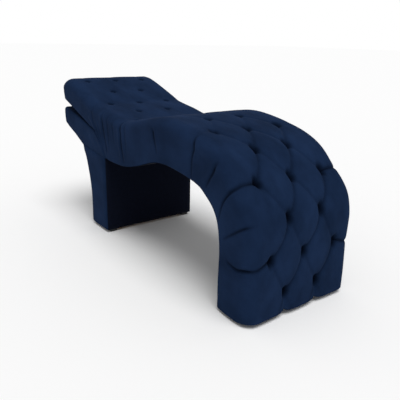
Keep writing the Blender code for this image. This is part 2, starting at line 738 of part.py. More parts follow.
# The board has a notch at each hinge corner, where the moving leaf lies against its edge
board_mid = head_line((board_low + board_high) / 2, HEAD_IN + HEAD_BOARD / 2, HEAD_END_X)
board_centre = board_mid.mean(axis=0)
board_half = np.linalg.norm(board_mid[1] - board_mid[0]) / 2
notch = board_half - NOTCH_LENGTH
board_outline = [
    (-board_half, -PANEL_OUT), (notch, -PANEL_OUT), (notch, -BOARD_EDGE), (board_half, -BOARD_EDGE),
    (board_half, BOARD_EDGE), (notch, BOARD_EDGE), (notch, PANEL_OUT), (-board_half, PANEL_OUT),
]
board_curve = outline_curve("head_board", board_outline, HEAD_BOARD / 2)
board_curve.location = (board_centre[0] - LENGTH / 2, 0.0, board_centre[1])
board_curve.rotation_euler = (0.0, head_tilt, 0.0)
head_board = as_mesh(board_curve)

# Hinge leaves: flat bars with round ends, side by side on one pin


def bar_outline(start, end, width, count=7):
    """Flat bar with half-round ends around two centres."""
    angle = math.atan2(end[1] - start[1], end[0] - start[0])
    points = []
    for centre, turn in ((end, angle - math.pi / 2), (start, angle + math.pi / 2)):
        for i in range(count):
            a = turn + math.pi * i / (count - 1)
            points.append((centre[0] + width / 2 * math.cos(a), centre[1] + width / 2 * math.sin(a)))
    return points


fixed_tip = pivot + (0.0, -FIXED_LEAF_REACH + LEAF_WIDTH / 2)
moving_dir = -slope
moving_tip = pivot + moving_dir * (MOVING_LEAF_REACH - MOVING_LEAF_WIDTH / 2)
first_screw = MOVING_LEAF_REACH - SCREW_FROM_TIP
moving_screws = [pivot + moving_dir * (first_screw - i * SCREW_SPACING) for i in (0, 1)]
pin_hole = PIN_RADIUS + HOLE_CLEARANCE
fixed_y = (PANEL_IN - FIT - LEAF, PANEL_IN - FIT)
moving_y = (fixed_y[0] - LEAF_GAP - LEAF, fixed_y[0] - LEAF_GAP)
drum_y = (moving_y[0] - FIT - DRUM_DEPTH, moving_y[0] - FIT)
pin_profile = (
    (0.0, PIN_HEAD), (PIN_HEAD_RADIUS, PIN_HEAD), (PIN_HEAD_RADIUS, 0.0), (PIN_RADIUS, 0.0),
    (PIN_RADIUS, -(fixed_y[1] - drum_y[0] + FIT)), (0.0, -(fixed_y[1] - drum_y[0] + FIT)),
)
screw_profile = (
    (0.0, SCREW_HEAD), (SCREW_HEAD_RADIUS * 0.6, SCREW_HEAD), (SCREW_HEAD_RADIUS, SCREW_HEAD * 0.4),
    (SCREW_HEAD_RADIUS, 0.0), (SCREW_RADIUS, 0.0), (SCREW_RADIUS, -SCREW_LENGTH), (0.0, -SCREW_LENGTH),
)


def lying(x, y, z, sign):
    """Matrix that lays a turned piece along Y with its head towards sign."""
    return Matrix.Translation((x - LENGTH / 2, y, z)) @ Matrix.Rotation(-sign * math.pi / 2, 4, "X")


for side, sign in SIDES:
    for name, centres, span, tip, width, moving in (
        ("hinge_leaf_fixed_", leaf_screws, fixed_y, fixed_tip, LEAF_WIDTH, False),
        ("hinge_leaf_moving_", moving_screws, moving_y, moving_tip, MOVING_LEAF_WIDTH, True),
    ):
        low, high = sorted((sign * span[0], sign * span[1]))
        outline = bar_outline(pivot, tip, width)
        leaf = as_mesh(side_plate(name + side, outline, low, high, [(pivot, pin_hole)]))
        face, way = (span[1], sign) if moving else (span[0], -sign)
        screws = [lying(c[0], sign * face, c[1], way) for c in centres]
        cut(leaf, turned_group("Screws of " + leaf.name, screw_profile, screws, 10), "UNION")
        place(leaf, ZINC_STEEL, moving)
    low, high = sorted((sign * drum_y[0], sign * drum_y[1]))
    drum = circle(pivot, DRUM_RADIUS, 24)
    place(side_plate("ratchet_drum_" + side, drum, low, high, [(pivot, pin_hole)]), ZINC_STEEL, True)
    pin_at = lying(hinge_x, sign * (drum_y[0] - FIT), hinge_z, -sign)
    place(turned_group("hinge_pin_" + side, pin_profile, [pin_at]), ZINC_STEEL)

for p in moving_screws:
    for sign in (-1, 1):
        start = sign * (BOARD_EDGE - SCREW_LENGTH)
        length = SCREW_LENGTH + HOLE_CLEARANCE
        cut(head_board, stud(p[0], start, p[1], (0, sign, 0), SCREW_RADIUS, length, HOLE_CLEARANCE))
place(head_board, PLYWOOD, moving=True)

# Hinge gusset: soft wadding and cloth that fold when the head pad tilts
GUSSET_STEPS = 4
UPRIGHT = np.array([0.0, 1.0])
gusset_s = np.linspace(S_HEAD + FIT * 2, S_BODY - FIT * 2, GUSSET_STEPS)
gusset_s[1:-1] = (FIRST_ROW + 2 * ROW_PITCH - STEP, FIRST_ROW + 2 * ROW_PITCH)
head_corner = np.array([HEAD_END_X, head_under[1][1]]) + seam_gap
body_corner = seam_point - seam_gap + (0.0, 2 * FIT)
rings = []
for index, s in enumerate(gusset_s):
    at, out = seat(s)
    share = index / (GUSSET_STEPS - 1)
    foot = head_corner + (body_corner - head_corner) * share
    inner = [(foot, CAVITY), (at - out * GUSSET_DEPTH, CAVITY)]
    half = section_half(s, foot, GUSSET_RISE_SHARE)
    if index == 0:
        half = flattened(half, head_corner, UPRIGHT)
        inner = flattened(inner, head_corner, UPRIGHT)
    elif index == GUSSET_STEPS - 1:
        half = flattened(half, body_corner, seam_along)
        inner = flattened(inner, body_corner, seam_along)
    rings.append(loop_of(half, inner))
hinge_gusset = loft("hinge_gusset", rings)
sew_buttons(hinge_gusset, S_HEAD, S_BODY, GUSSET_RISE_SHARE)
place(hinge_gusset, VELVET)

# Pedestal: a box on its own feet, flared on the head side
flare = smooth(sizes(PEDESTAL_FLARE_SHARES), 4)
flare[0, 1] = PEDESTAL_RISE
inner_x = PEDESTAL_INNER_SHARE * LENGTH
PEDESTAL_HALF = HALF - PEDESTAL_INSET
under_line = sizes(SLAB_UNDER_SHARES)[-2:]
under_slope = (under_line[1][1] - under_line[0][1]) / (under_line[1][0] - under_line[0][0])


def pedestal_top(x, drop=0.0):
    """Height of the slab's lower edge over the pedestal, less a drop."""
    return under_line[0][1] + under_slope * (x - under_line[0][0]) - drop


def flared(depth, x_inner, drop, rise):
    """Outline of the pedestal's side, set in by a depth on the flared face."""
    line = shifted(flare, -depth)
    line[0, 1] = rise
    keep = [tuple(p) for p in line if p[1] < pedestal_top(p[0], drop) - PEDESTAL_SKIN]
    top_x = float(np.interp(0.0, [p[1] - pedestal_top(p[0], drop) for p in line], line[:, 0]))
    keep.append((top_x, pedestal_top(top_x, drop)))
    return keep + [(x_inner, pedestal_top(x_inner, drop)), (x_inner, rise)]


TOP_DROP = 3 * FIT
cloth_outline = flared(0.0, inner_x, TOP_DROP, PEDESTAL_RISE)
pedestal_cover = as_mesh(side_plate("pedestal_cover", cloth_outline, -PEDESTAL_HALF, PEDESTAL_HALF))
inside = shifted(flare, -PEDESTAL_CLOTH)
inside = np.vstack([inside[0] + past_foot * 2, inside])
reach = inside[-1] + (inside[-1] - inside[-2]) / np.linalg.norm(inside[-1] - inside[-2]) * OVERRUN
inside_outline = [tuple(p) for p in inside] + [tuple(reach)]
inside_outline += [(inner_x + OVERRUN, reach[1]), (inner_x + OVERRUN, -OVERRUN)]
pedestal_cavity = PEDESTAL_HALF - PEDESTAL_CLOTH
cut(
    pedestal_cover,
    as_mesh(side_plate("Pedestal inside", inside_outline, -pedestal_cavity, pedestal_cavity)),
)
place(pedestal_cover, VELVET)

skin_depth = PEDESTAL_CLOTH + FIT
skin_outer = flared(skin_depth, inner_x, TOP_DROP, PEDESTAL_RISE)[:-2]
skin_inner = flared(skin_depth + PEDESTAL_SKIN, inner_x, TOP_DROP, PEDESTAL_RISE)[:-2]
skin_half = pedestal_cavity - FIT
place(side_plate("pedestal_skin", skin_outer + skin_inner[::-1], -skin_half, skin_half), PLYWOOD)

back_x = inner_x - LINING - FIT
back_low = PEDESTAL_RISE
back_outline = [
    (back_x, back_low), (back_x, pedestal_top(back_x, TOP_DROP)),
    (back_x - PEDESTAL_BACK, pedestal_top(back_x - PEDESTAL_BACK, TOP_DROP)),
    (back_x - PEDESTAL_BACK, back_low),
]
place(side_plate("pedestal_back", back_outline, -skin_half, skin_half), HARDBOARD)
lining_outline = [
    (inner_x, back_low), (inner_x, pedestal_top(inner_x, TOP_DROP)),
    (inner_x - LINING, pedestal_top(inner_x - LINING, TOP_DROP)), (inner_x - LINING, back_low),
]
place(side_plate("pedestal_lining", lining_outline, -skin_half, skin_half), BLACK_CLOTH)

frame_depth = skin_depth + PEDESTAL_SKIN + FIT
frame_inner = back_x - PEDESTAL_BACK - FIT
pedestal_outline = flared(frame_depth, frame_inner, TOP_DROP, PEDESTAL_RISE)
for side, sign in SIDES:
    low, high = sorted((sign * (skin_half - PANEL), sign * skin_half))
    place(side_plate("pedestal_side_" + side, pedestal_outline, low, high), PLYWOOD)

# Rails across the pedestal, and the two rails over it inside the slab, bolted together
PEDESTAL_SPAN = 2 * (skin_half - PANEL - FIT)
slab_rail_lift = (LINING + 2 * FIT) * math.hypot(1.0, under_slope)
bolts = []
outer_face = shifted(flare, -frame_depth)
rail_drop = PEDESTAL_RAIL_DEEP / 2


def flare_x(z):
    """Face of the frame behind the flared skin at a height."""
    return float(np.interp(z, outer_face[:, 1], outer_face[:, 0]))


top_outer_low = pedestal_top(flare_x(under_line[0][1]), TOP_DROP) - 1.5 * PEDESTAL_RAIL_DEEP
top_outer_x = flare_x(top_outer_low) + FIT + RAIL_THICK / 2
inner_rail_x = frame_inner - FIT - RAIL_THICK / 2
low_outer_x = max(flare_x(PEDESTAL_RISE + PEDESTAL_RAIL_DEEP), flare_x(PEDESTAL_RISE))
low_outer_x += FIT + RAIL_THICK / 2
for name, x, upper in (
    ("pedestal_rail_top_outer", top_outer_x, True),
    ("pedestal_rail_top_inner", inner_rail_x, True),
    ("pedestal_rail_low_outer", low_outer_x, False),
    ("pedestal_rail_low_inner", inner_rail_x, False),
):
    top = pedestal_top(x + RAIL_THICK / 2, TOP_DROP) if upper else PEDESTAL_RISE + PEDESTAL_RAIL_DEEP
    rail = block(name, (x, 0.0, top - rail_drop), (RAIL_THICK, PEDESTAL_SPAN, PEDESTAL_RAIL_DEEP))
    place(rail, PINE)
    if not upper:
        continue
    where = name.rsplit("_", 1)[1]
    low = top - PEDESTAL_RAIL_DEEP
    slab_low = pedestal_top(x - RAIL_THICK / 2) + slab_rail_lift
    slab_rail = block(
        "slab_rail_" + where, (x, 0.0, slab_low + RAIL_DEEP / 2), (RAIL_THICK, RAIL_SPAN, RAIL_DEEP)
    )
    place(slab_rail, PINE)
    bolt_tip = slab_low + BOLT_GRIP
    drilled = bolt_tip + HOLE_CLEARANCE - low + OVERRUN
    for _, sign in SIDES:
        for piece in (rail, slab_lining, slab_rail):
            start = (x, sign * BOLT_ACROSS, low - OVERRUN)
            cut(piece, stud(*start, (0, 0, 1), BOLT_RADIUS, drilled, HOLE_CLEARANCE))
    bolts.append((where, x, low, bolt_tip - low))
place(slab_lining, BLACK_CLOTH)

for where, x, low, reach in bolts:
    bolt_profile = (
        (0.0, BOLT_HEAD), (BOLT_HEAD_RADIUS, BOLT_HEAD), (BOLT_HEAD_RADIUS, 0.0),
        (BOLT_RADIUS, 0.0), (BOLT_RADIUS, -reach), (0.0, -reach),
    )
    for side, sign in SIDES:
        down = Matrix.Rotation(math.pi, 4, "X")
        spot = Matrix.Translation((x - LENGTH / 2, sign * BOLT_ACROSS, low - FIT))
        bolt = turned_group(f"pedestal_bolt_{where}_{side}", bolt_profile, [spot @ down], 6)
        place(bolt, ZINC_STEEL)

# Black plastic feet at the pedestal's corners
foot_height = PEDESTAL_RISE - FIT
foot_near = flare_x(PEDESTAL_RISE) + FOOT_INSET / 2
FOOT_SPOTS = (("outer", foot_near + FOOT_LENGTH / 2), ("inner", inner_x - FOOT_LENGTH / 2))
for where, x in FOOT_SPOTS:
    for side, sign in SIDES:
        y = sign * (PEDESTAL_HALF - FOOT_INSET - FOOT_WIDTH / 2)
        size = (FOOT_LENGTH, FOOT_WIDTH, foot_height)
        foot = block(f"pedestal_foot_{where}_{side}", (x, y, foot_height / 2), size)
        rounding = foot.modifiers.new("Rounding", "BEVEL")
        rounding.width = FOOT_BEVEL
        rounding.segments = 2
        place(foot, BLACK_PLASTIC)
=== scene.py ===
"""Eyelash extension bed: a wave-shaped couch in tufted navy velvet on a box pedestal.

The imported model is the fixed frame, in metres: +X towards the foot, +Z up, origin on the floor
under the middle. The sections follow the way the couch is put together: timber and hinges,
dust linings, pedestal, slab, the tufted cover with its buttons, feet, and the studio. Side
outlines are drawn in X from the head end and Z from the floor, as in the upholsterer's plan.
"""

import math

import bmesh
import bpy
import numpy as np
from mathutils import Matrix, Vector


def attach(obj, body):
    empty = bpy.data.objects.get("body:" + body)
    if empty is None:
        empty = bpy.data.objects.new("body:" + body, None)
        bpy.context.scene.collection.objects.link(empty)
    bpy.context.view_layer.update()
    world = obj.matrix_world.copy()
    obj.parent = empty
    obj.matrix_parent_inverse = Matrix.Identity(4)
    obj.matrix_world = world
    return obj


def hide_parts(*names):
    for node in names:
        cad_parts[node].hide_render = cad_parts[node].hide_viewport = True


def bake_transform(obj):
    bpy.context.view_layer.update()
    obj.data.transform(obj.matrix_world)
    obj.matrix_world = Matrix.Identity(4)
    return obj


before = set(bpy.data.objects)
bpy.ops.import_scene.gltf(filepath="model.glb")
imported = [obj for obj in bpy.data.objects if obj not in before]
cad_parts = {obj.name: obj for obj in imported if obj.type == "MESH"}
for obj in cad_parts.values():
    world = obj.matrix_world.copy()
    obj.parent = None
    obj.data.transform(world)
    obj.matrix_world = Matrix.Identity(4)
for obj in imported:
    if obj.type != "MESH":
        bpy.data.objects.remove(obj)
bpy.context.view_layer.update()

# Timber frame. Pine rails and boards, glued and screwed between two birch plywood side
# profiles; a bent plywood deck carries the foam. Hardboard closes the back of the pedestal.


def finish(name, colour, roughness, **sockets):
    """New material: a Principled shader with its plain values set on its own sockets."""
    material = bpy.data.materials.new(name)
    material.use_nodes = True
    shader = material.node_tree.nodes["Principled BSDF"]
    shader.inputs["Base Color"].default_value = (*colour, 1.0)
    shader.inputs["Roughness"].default_value = roughness
    for socket, value in sockets.items():
        shader.inputs[socket.replace("_", " ")].default_value = value
    return material


def node(material, kind, values=(), **settings):
    """New node in a material or world, with its sockets' values by name and its settings."""
    made = material.node_tree.nodes.new(kind)
    for key, value in settings.items():
        setattr(made, key, value)
    for socket, value in dict(values).items():
        made.inputs[socket].default_value = value
    return made


def join(material, *pairs):
    """Links sockets of a material's or world's nodes, each pair as (from, to)."""
    for start, end in pairs:
        material.node_tree.links.new(start, end)


def texture(material, kind, stretch=(1.0, 1.0, 1.0), source="Object", settings=(), **sockets):
    """New texture on the object's own coordinates or its UV map, stretched on each axis."""
    where = node(material, "ShaderNodeTexCoord")
    mapping = node(material, "ShaderNodeMapping", {"Scale": stretch})
    values = {socket.replace("_", " "): value for socket, value in sockets.items()}
    made = node(material, "ShaderNodeTex" + kind, values, **dict(settings))
    join(
        material, (where.outputs[source], mapping.inputs["Vector"]),
        (mapping.outputs["Vector"], made.inputs["Vector"]),
    )
    return made


def tones(material, factor, dark, light, low=0.3, high=0.7):
    """Colours the shader between two tones by a factor that is stretched from low to high."""
    ramp = node(material, "ShaderNodeValToRGB")
    ramp.color_ramp.elements[0].position = low
    ramp.color_ramp.elements[0].color = (*dark, 1.0)
    ramp.color_ramp.elements[1].position = high
    ramp.color_ramp.elements[1].color = (*light, 1.0)
    shader = material.node_tree.nodes["Principled BSDF"]
    join(material, (factor, ramp.inputs["Fac"]), (ramp.outputs["Color"], shader.inputs["Base Color"]))
    return ramp


def bumped(material, height, strength, distance, under=None):
    """Bump from a height, over an earlier bump if there is one, on the shader's normal."""
    bump = node(material, "ShaderNodeBump", {"Strength": strength, "Distance": distance})
    join(material, (height, bump.inputs["Height"]))
    if under is not None:
        join(material, (under.outputs["Normal"], bump.inputs["Normal"]))
    shader = material.node_tree.nodes["Principled BSDF"]
    join(material, (bump.outputs["Normal"], shader.inputs["Normal"]))
    return bump


def timber(name, dark, light, stretch, rings):
    """Wood: growth rings stretched along the grain, with fine pores over them."""
    material = finish(name, light, 0.62, Specular_IOR_Level=0.3)
    wave = texture(
        material, "Wave", stretch, settings={"bands_direction": "Z"},
        Scale=rings, Distortion=5.0, Detail=3.0, Detail_Scale=1.4,
    )
    pores = texture(material, "Noise", stretch, Scale=90.0, Detail=5.0, Roughness=0.65)
    tones(material, wave.outputs["Fac"], dark, light, 0.15, 0.85)
    bumped(material, pores.outputs["Fac"], 0.25, 0.0006)
    return material


def dress(material, slot, *names):
    """Gives CAD nodes a finished material in place of their plain one."""
    for name in names:
        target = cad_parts[name]
        target.data.materials.clear()
        target.data.materials.append(material)


pine = timber("pine", (0.44, 0.26, 0.12), (0.66, 0.46, 0.26), (9.0, 0.6, 9.0), 2.2)
plywood = timber("plywood", (0.26, 0.165, 0.085), (0.42, 0.29, 0.165), (0.8, 14.0, 6.0), 3.0)
hardboard = finish("hardboard", (0.22, 0.13, 0.07), 0.7)
fibres = texture(hardboard, "Noise", Scale=60.0, Detail=8.0, Roughness=0.8)
tones(hardboard, fibres.outputs["Fac"], (0.17, 0.095, 0.05), (0.27, 0.165, 0.09))
bumped(hardboard, fibres.outputs["Fac"], 0.2, 0.0005)

dress(
    pine, "pine", "end_rail", "foot_board", "slab_rail_outer", "slab_rail_inner",
    "pedestal_rail_top_outer", "pedestal_rail_top_inner", "pedestal_rail_low_outer",
    "pedestal_rail_low_inner", *[f"body_rail_{number}" for number in range(1, 8)],
)
dress(
    plywood, "plywood", "side_panel_near", "side_panel_far", "body_deck", "slab_sheet",
    "head_board", "pedestal_skin", "pedestal_side_near", "pedestal_side_far",
)
dress(hardboard, "hardboard", "pedestal_back")

# Foam on the deck and in the head pad: slabs of open-cell polyurethane, glued down. They stay
# inside their covers.

foam = finish("foam", (0.78, 0.70, 0.46), 0.95, Specular_IOR_Level=0.1)
cells = texture(foam, "Voronoi", Scale=420.0)
tones(foam, cells.outputs["Distance"], (0.66, 0.56, 0.34), (0.82, 0.75, 0.52), 0.1, 0.6)
bumped(foam, cells.outputs["Distance"], 0.5, 0.0008)
dress(foam, "foam", "body_foam", "head_foam")

# Ratchet hinges and the bolts of the pedestal: pressed steel with a passivated zinc coat. The
# leaves turn on a pin beside the ratchet drum and are screwed to the board and the side panels.

zinc = finish("zinc_steel", (0.55, 0.56, 0.58), 0.38, Metallic=1.0)
spangle = texture(zinc, "Noise", (1.0, 1.0, 0.25), Scale=55.0, Detail=4.0, Roughness=0.6)
tones(zinc, spangle.outputs["Fac"], (0.42, 0.43, 0.44), (0.66, 0.67, 0.70))
bumped(zinc, spangle.outputs["Fac"], 0.08, 0.0003)
steel_parts = [
    part + side
    for part in ("hinge_leaf_fixed_", "hinge_leaf_moving_", "ratchet_drum_", "hinge_pin_",
                 "pedestal_bolt_inner_", "pedestal_bolt_outer_")
    for side in ("near", "far")
]
dress(zinc, "zinc_steel", *steel_parts)

# Dust linings under the body, the slab and the head pad, and over the back of the pedestal:
# black spun-bonded cloth, its edges folded back in a strip and stapled through the fold.

LENGTH, HEIGHT, HALF = 1.90, 0.90, 0.32
LINING_HALF, LINING_THICK = 0.3068, 0.0011
LINING_LIFT, LINING_SAG = 0.0020, 0.0010
HEM, HEM_STEP = 0.028, 0.0012
HEM_ENDS = (HEM - 0.003, HEM + 0.002)
SIDE_PULL, SIDE_WAVE, SIDE_REACH = 0.0006, 0.0135, 0.09
END_PULL, END_WAVE, END_REACH = 0.0005, 0.0150, 0.07
STAPLES_IN, FLAT_RIM = 0.01, 0.008

# The inner skin of a cloth keeps each fourth row and column of the outer one
EVERY = 4
CELL_GROUP, LEAST_GROUPS, LINING_COLUMNS = 0.036, 12, 96


def curve_through(points, steps=8):
    """Catmull-Rom curve through the points, each span cut in equal steps of its parameter."""
    p = np.asarray(points, float)
    p = np.vstack([2 * p[0] - p[1], p, 2 * p[-1] - p[-2]])
    t = np.linspace(0.0, 1.0, steps, endpoint=False)[:, None]

    def span(a, b, c, d):
        square, cube = 2 * a - 5 * b + 4 * c - d, 3 * b - a - 3 * c + d
        return 0.5 * (2 * b + (c - a) * t + square * t**2 + cube * t**3)

    return np.vstack([*map(span, p, p[1:], p[2:], p[3:]), p[-2:-1]])


def run_of(line):
    """Distance along a line to each of its points: the running sum of its steps."""
    return np.append(0.0, np.cumsum(np.linalg.norm(np.diff(line, axis=0), axis=1)))


def at_run(line, run, s):
    """Points of a line at the distances s along it."""
    return np.stack([np.interp(s, run, line[:, i]) for i in range(line.shape[1])], axis=-1)


def step_up(value, low, high):
    """Smooth rise from 0 at low to 1 at high: 3t2 - 2t3 of the clipped share between them."""
    t = np.clip((value - low) / (high - low), 0.0, 1.0)
    return t * t * (3 - 2 * t)


def quarter_turn(points):
    """Angles of a quarter circle, from 0 on, at even steps."""
    return np.linspace(0.0, np.pi / 2, points)


def bell(value, wide, power=2):
    """Falls from 1 at 0 towards 0, by a width and a power: exp(-(value / wide)^power)."""
    return np.exp(-((value / wide) ** power))


def grid_normals(grid):
    """Unit normals of a grid of points: the cross product of its two gradients."""
    normal = np.cross(np.gradient(grid, axis=0), np.gradient(grid, axis=1))
    size = np.linalg.norm(normal, axis=2)
    normal /= np.maximum(size, 1e-12)[..., None]
    normal[0] = np.where(size[0, :, None] < 1e-10, normal[1], normal[0])
    return normal


def set_in(grid, thick):
    """The grid moved in along its normals by a thickness."""
    return grid - grid_normals(grid) * thick


def quads(index):
    """Faces between neighbouring points of a grid, or of several, of point numbers."""
    low, high = index[..., :-1, :], index[..., 1:, :]
    around = [low[..., :-1], low[..., 1:], high[..., 1:], high[..., :-1]]
    return np.stack(around, axis=-1).reshape(-1, 4)


def cloth_mesh(name, points, faces, flat):
    """Mesh of cloth, with each point's place on the flat cloth as its UV map."""
    mesh = bpy.data.meshes.new(name)
    mesh.from_pydata(points.tolist(), [], faces)
    corners = np.empty(len(mesh.loops), dtype=np.int32)
    mesh.loops.foreach_get("vertex_index", corners)
    mesh.uv_layers.new(name="cloth").data.foreach_set("uv", flat[corners].astype(np.float32).ravel())
    return mesh


def cloth_shell(name, outer, inner, uv, material, crease_shade=None):
    """Closed piece between two grids of points, the outer and the inner skin of a cloth.

    The inner skin keeps fewer rows and columns, and a rim of faces joins it to the outer
    skin. The crease shade is the share by which the colour is darkened at each point, as
    painted shade in the pits and along the folds, kept as an attribute. A face starts at
    the corner from which the normal changes least across it, so that the diagonal it is
    split on runs along a fold.
    """
    rows, columns = outer.shape[:2]
    normal = grid_normals(outer)
    inner = inner[::EVERY, ::EVERY]
    index = np.arange(rows * columns).reshape(rows, columns)
    index_in = rows * columns + np.arange(inner[..., 0].size).reshape(inner.shape[:2])
    one_way = (normal[:-1, :-1] * normal[1:, 1:]).sum(axis=-1)
    other_way = (normal[:-1, 1:] * normal[1:, :-1]).sum(axis=-1)
    turned = (other_way > one_way + 1e-9).reshape(-1, 1)
    skin = np.where(turned, np.roll(quads(index), -1, axis=1), quads(index))
    faces = skin.tolist() + quads(index_in)[:, ::-1].tolist()
    for edge, edge_in in (
        (index[0], index_in[0]), (index[-1], index_in[-1]),
        (index[:, 0], index_in[:, 0]), (index[:, -1], index_in[:, -1]),
    ):
        first = np.arange(len(edge_in) - 1)[:, None] * EVERY
        rim = np.hstack([edge[first + np.arange(EVERY + 1)], edge_in[1:, None], edge_in[:-1, None]])
        faces += rim.tolist()
    points = np.vstack([outer.reshape(-1, 3), inner.reshape(-1, 3)])
    flat = np.vstack([uv.reshape(-1, 2), uv[::EVERY, ::EVERY].reshape(-1, 2)])
    mesh = cloth_mesh(name, points, faces, flat)
    # The painted crease shade goes onto the mesh as a point attribute.
    if crease_shade is not None:
        shade_share = np.append(crease_shade, crease_shade[::EVERY, ::EVERY])
        mesh.attributes.new("crease_shade", "FLOAT", "POINT").data.foreach_set("value", shade_share)
    return welded(name, mesh, material)


def placed_object(name, data):
    """New object of some data, linked into the scene."""
    made = bpy.data.objects.new(name, data)
    bpy.context.scene.collection.objects.link(made)
    return made


def welded(name, mesh, material):
    """Object of a mesh whose doubles are merged and whose faces point outwards."""
    bm = bmesh.new()
    bm.from_mesh(mesh)
    bmesh.ops.remove_doubles(bm, verts=bm.verts, dist=1e-6)
    bmesh.ops.recalc_face_normals(bm, faces=bm.faces)
    bm.to_mesh(mesh)
    bm.free()
    mesh.shade_smooth()
    mesh.materials.append(material)
    piece = placed_object(name, mesh)
    return piece


lining_cloth = finish(
    "lining_cloth", (0.002, 0.003, 0.007), 0.92, Specular_IOR_Level=0.06, Sheen_Weight=0.03,
    Sheen_Roughness=0.6, Sheen_Tint=(0.30, 0.34, 0.50, 1.0),
)
spun = texture(
    lining_cloth, "Voronoi", (420.0, 420.0, 1.0), "UV", {"feature": "DISTANCE_TO_EDGE"}, Scale=1.0
)
threads = texture(
    lining_cloth, "Noise", (9.0, 9.0, 1.0), "UV", Scale=6.0, Detail=5.0, Roughness=0.7
)
tones(lining_cloth, threads.outputs["Fac"], (0.0017, 0.0027, 0.0078), (0.0034, 0.0054, 0.0142))
bumped(lining_cloth, spun.outputs["Distance"], 0.35, 0.0004)


def stretched_lining(name, line, half=LINING_HALF):
    """Lining on a side-view line, carried across from edge to edge.

    Its height over the line is the folded strip's step near all four edges, plus faint
    pulls that run in from the staples, less a shallow sag in the middle.
    """
    line = np.asarray(line, float)
    run = run_of(line)
    groups = max(LEAST_GROUPS, round(run[-1] / CELL_GROUP))
    s = np.linspace(0.0, run[-1], EVERY * groups + 1)
    y = np.linspace(-half, half, LINING_COLUMNS + 1)
    at = at_run(line, run, s)
    along = np.gradient(at, axis=0)
    along /= np.linalg.norm(along, axis=1)[:, None]
    out = np.stack([along[:, 1], -along[:, 0]], axis=1)
    edge = np.minimum(np.minimum(s, run[-1] - s)[:, None], (half - np.abs(y))[None, :])
    fold = HEM_STEP * (1 - step_up(edge, *HEM_ENDS))
    near_side = step_up(np.abs(y), half - SIDE_REACH, half - STAPLES_IN)
    pulls = SIDE_PULL * np.sin(s / SIDE_WAVE)[:, None] * near_side
    near_end = 1 - step_up(edge, STAPLES_IN, END_REACH)
    pulls = pulls + END_PULL * np.sin(y / END_WAVE)[None, :] * near_end
    middle = np.sin(np.pi * s / run[-1])[:, None] * (1 - (y / half) ** 2)[None, :]
    rise = fold + pulls * step_up(edge, 0.0, FLAT_RIM) + LINING_LIFT - LINING_SAG * middle
    grid = np.empty((len(s), len(y), 3))
    grid[..., 0] = at[:, None, 0] - LENGTH / 2 + out[:, None, 0] * rise
    grid[..., 1] = y
    grid[..., 2] = at[:, None, 1] + out[:, None, 1] * rise
    uv = np.stack(np.broadcast_arrays(s[:, None], y[None, :]), axis=-1)
    inner = set_in(grid, LINING_THICK)
    piece = cloth_shell(name + "_cloth", grid, inner, uv, lining_cloth)
    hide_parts(name)
    return piece


BODY_UNDER = np.array((
    (0.299, 0.533), (0.342, 0.529), (0.425, 0.533), (0.500, 0.569), (0.586, 0.630),
    (0.643, 0.648), (0.697, 0.643), (0.757, 0.628), (0.801, 0.607), (0.829, 0.578),
    (0.858, 0.537), (0.874, 0.489), (0.881, 0.444), (0.887, 0.378), (0.889, 0.311),
    (0.889, 0.200), (0.889, 0.016),
)) * (LENGTH, HEIGHT)
SLAB_UNDER = np.array(
    ((0.0046, 0.687), (0.036, 0.656), (0.086, 0.619), (0.148, 0.562), (0.299, 0.533))
) * (LENGTH, HEIGHT)
HEAD_UNDER = np.array(((0.0, 0.859), (0.196, 0.7229))) * (LENGTH, HEIGHT)
HEAD_CLEAR = ((0.0015, -0.0005), (-0.001, 0.0))
SLAB_TIP = (0.002, 0.6214)
PEDESTAL_INNER = 0.306 * LENGTH
PEDESTAL_LINING = ((PEDESTAL_INNER, 0.0175), (PEDESTAL_INNER, 0.4775))
PEDESTAL_LINING_HALF = 0.3128
body_lining = stretched_lining("body_lining", curve_through(BODY_UNDER))
slab_lining = stretched_lining("slab_lining", np.vstack([SLAB_TIP, SLAB_UNDER]))
head_lining = stretched_lining("head_lining", HEAD_UNDER + HEAD_CLEAR)
pedestal_lining = stretched_lining(
    "pedestal_lining", PEDESTAL_LINING, PEDESTAL_LINING_HALF
)
for lining in (body_lining, slab_lining, pedestal_lining):
    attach(lining, "base")
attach(head_lining, "head")

# Pedestal cover. One piece of the couch's velvet round the flared face and both sides, drawn
# tight over the plywood, turned under at the floor and in behind the lining at the back.

velvet = finish(
    "cover_cloth", (0.0085, 0.0200, 0.0535), 0.90, Specular_IOR_Level=0.02, Sheen_Weight=0.02,
    Sheen_Roughness=0.40, Sheen_Tint=(0.25, 0.40, 0.80, 1.0),
)
nap = texture(velvet, "Noise", (5.0, 9.0, 6.0), Scale=1.0, Detail=5.0, Roughness=0.6)
brushed = tones(
    velvet, nap.outputs["Fac"], (0.0067, 0.0158, 0.0422), (0.0105, 0.0243, 0.0648), 0.33, 0.67
)
# Painted shade: the crease shade attribute mixes the velvet's colour towards near black in the pits and
# along the folds, where shade falls.
shade_share = node(velvet, "ShaderNodeAttribute", attribute_name="crease_shade")
shade = node(velvet, "ShaderNodeMix", {"B": (0.0006, 0.0014, 0.0042, 1.0)}, data_type="RGBA")
join(
    velvet, (shade_share.outputs["Fac"], shade.inputs["Factor"]),
    (brushed.outputs["Color"], shade.inputs["A"]),
    (shade.outputs["Result"], velvet.node_tree.nodes["Principled BSDF"].inputs["Base Color"]),
)
pile = texture(velvet, "Noise", source="UV", Scale=900.0, Detail=3.0, Roughness=0.7)
weave = texture(velvet, "Wave", source="UV", Scale=210.0, Distortion=1.5, Detail=2.0)
ground = bumped(velvet, weave.outputs["Fac"], 0.12, 0.0004)
bumped(velvet, pile.outputs["Fac"], 0.25, 0.0005, ground)

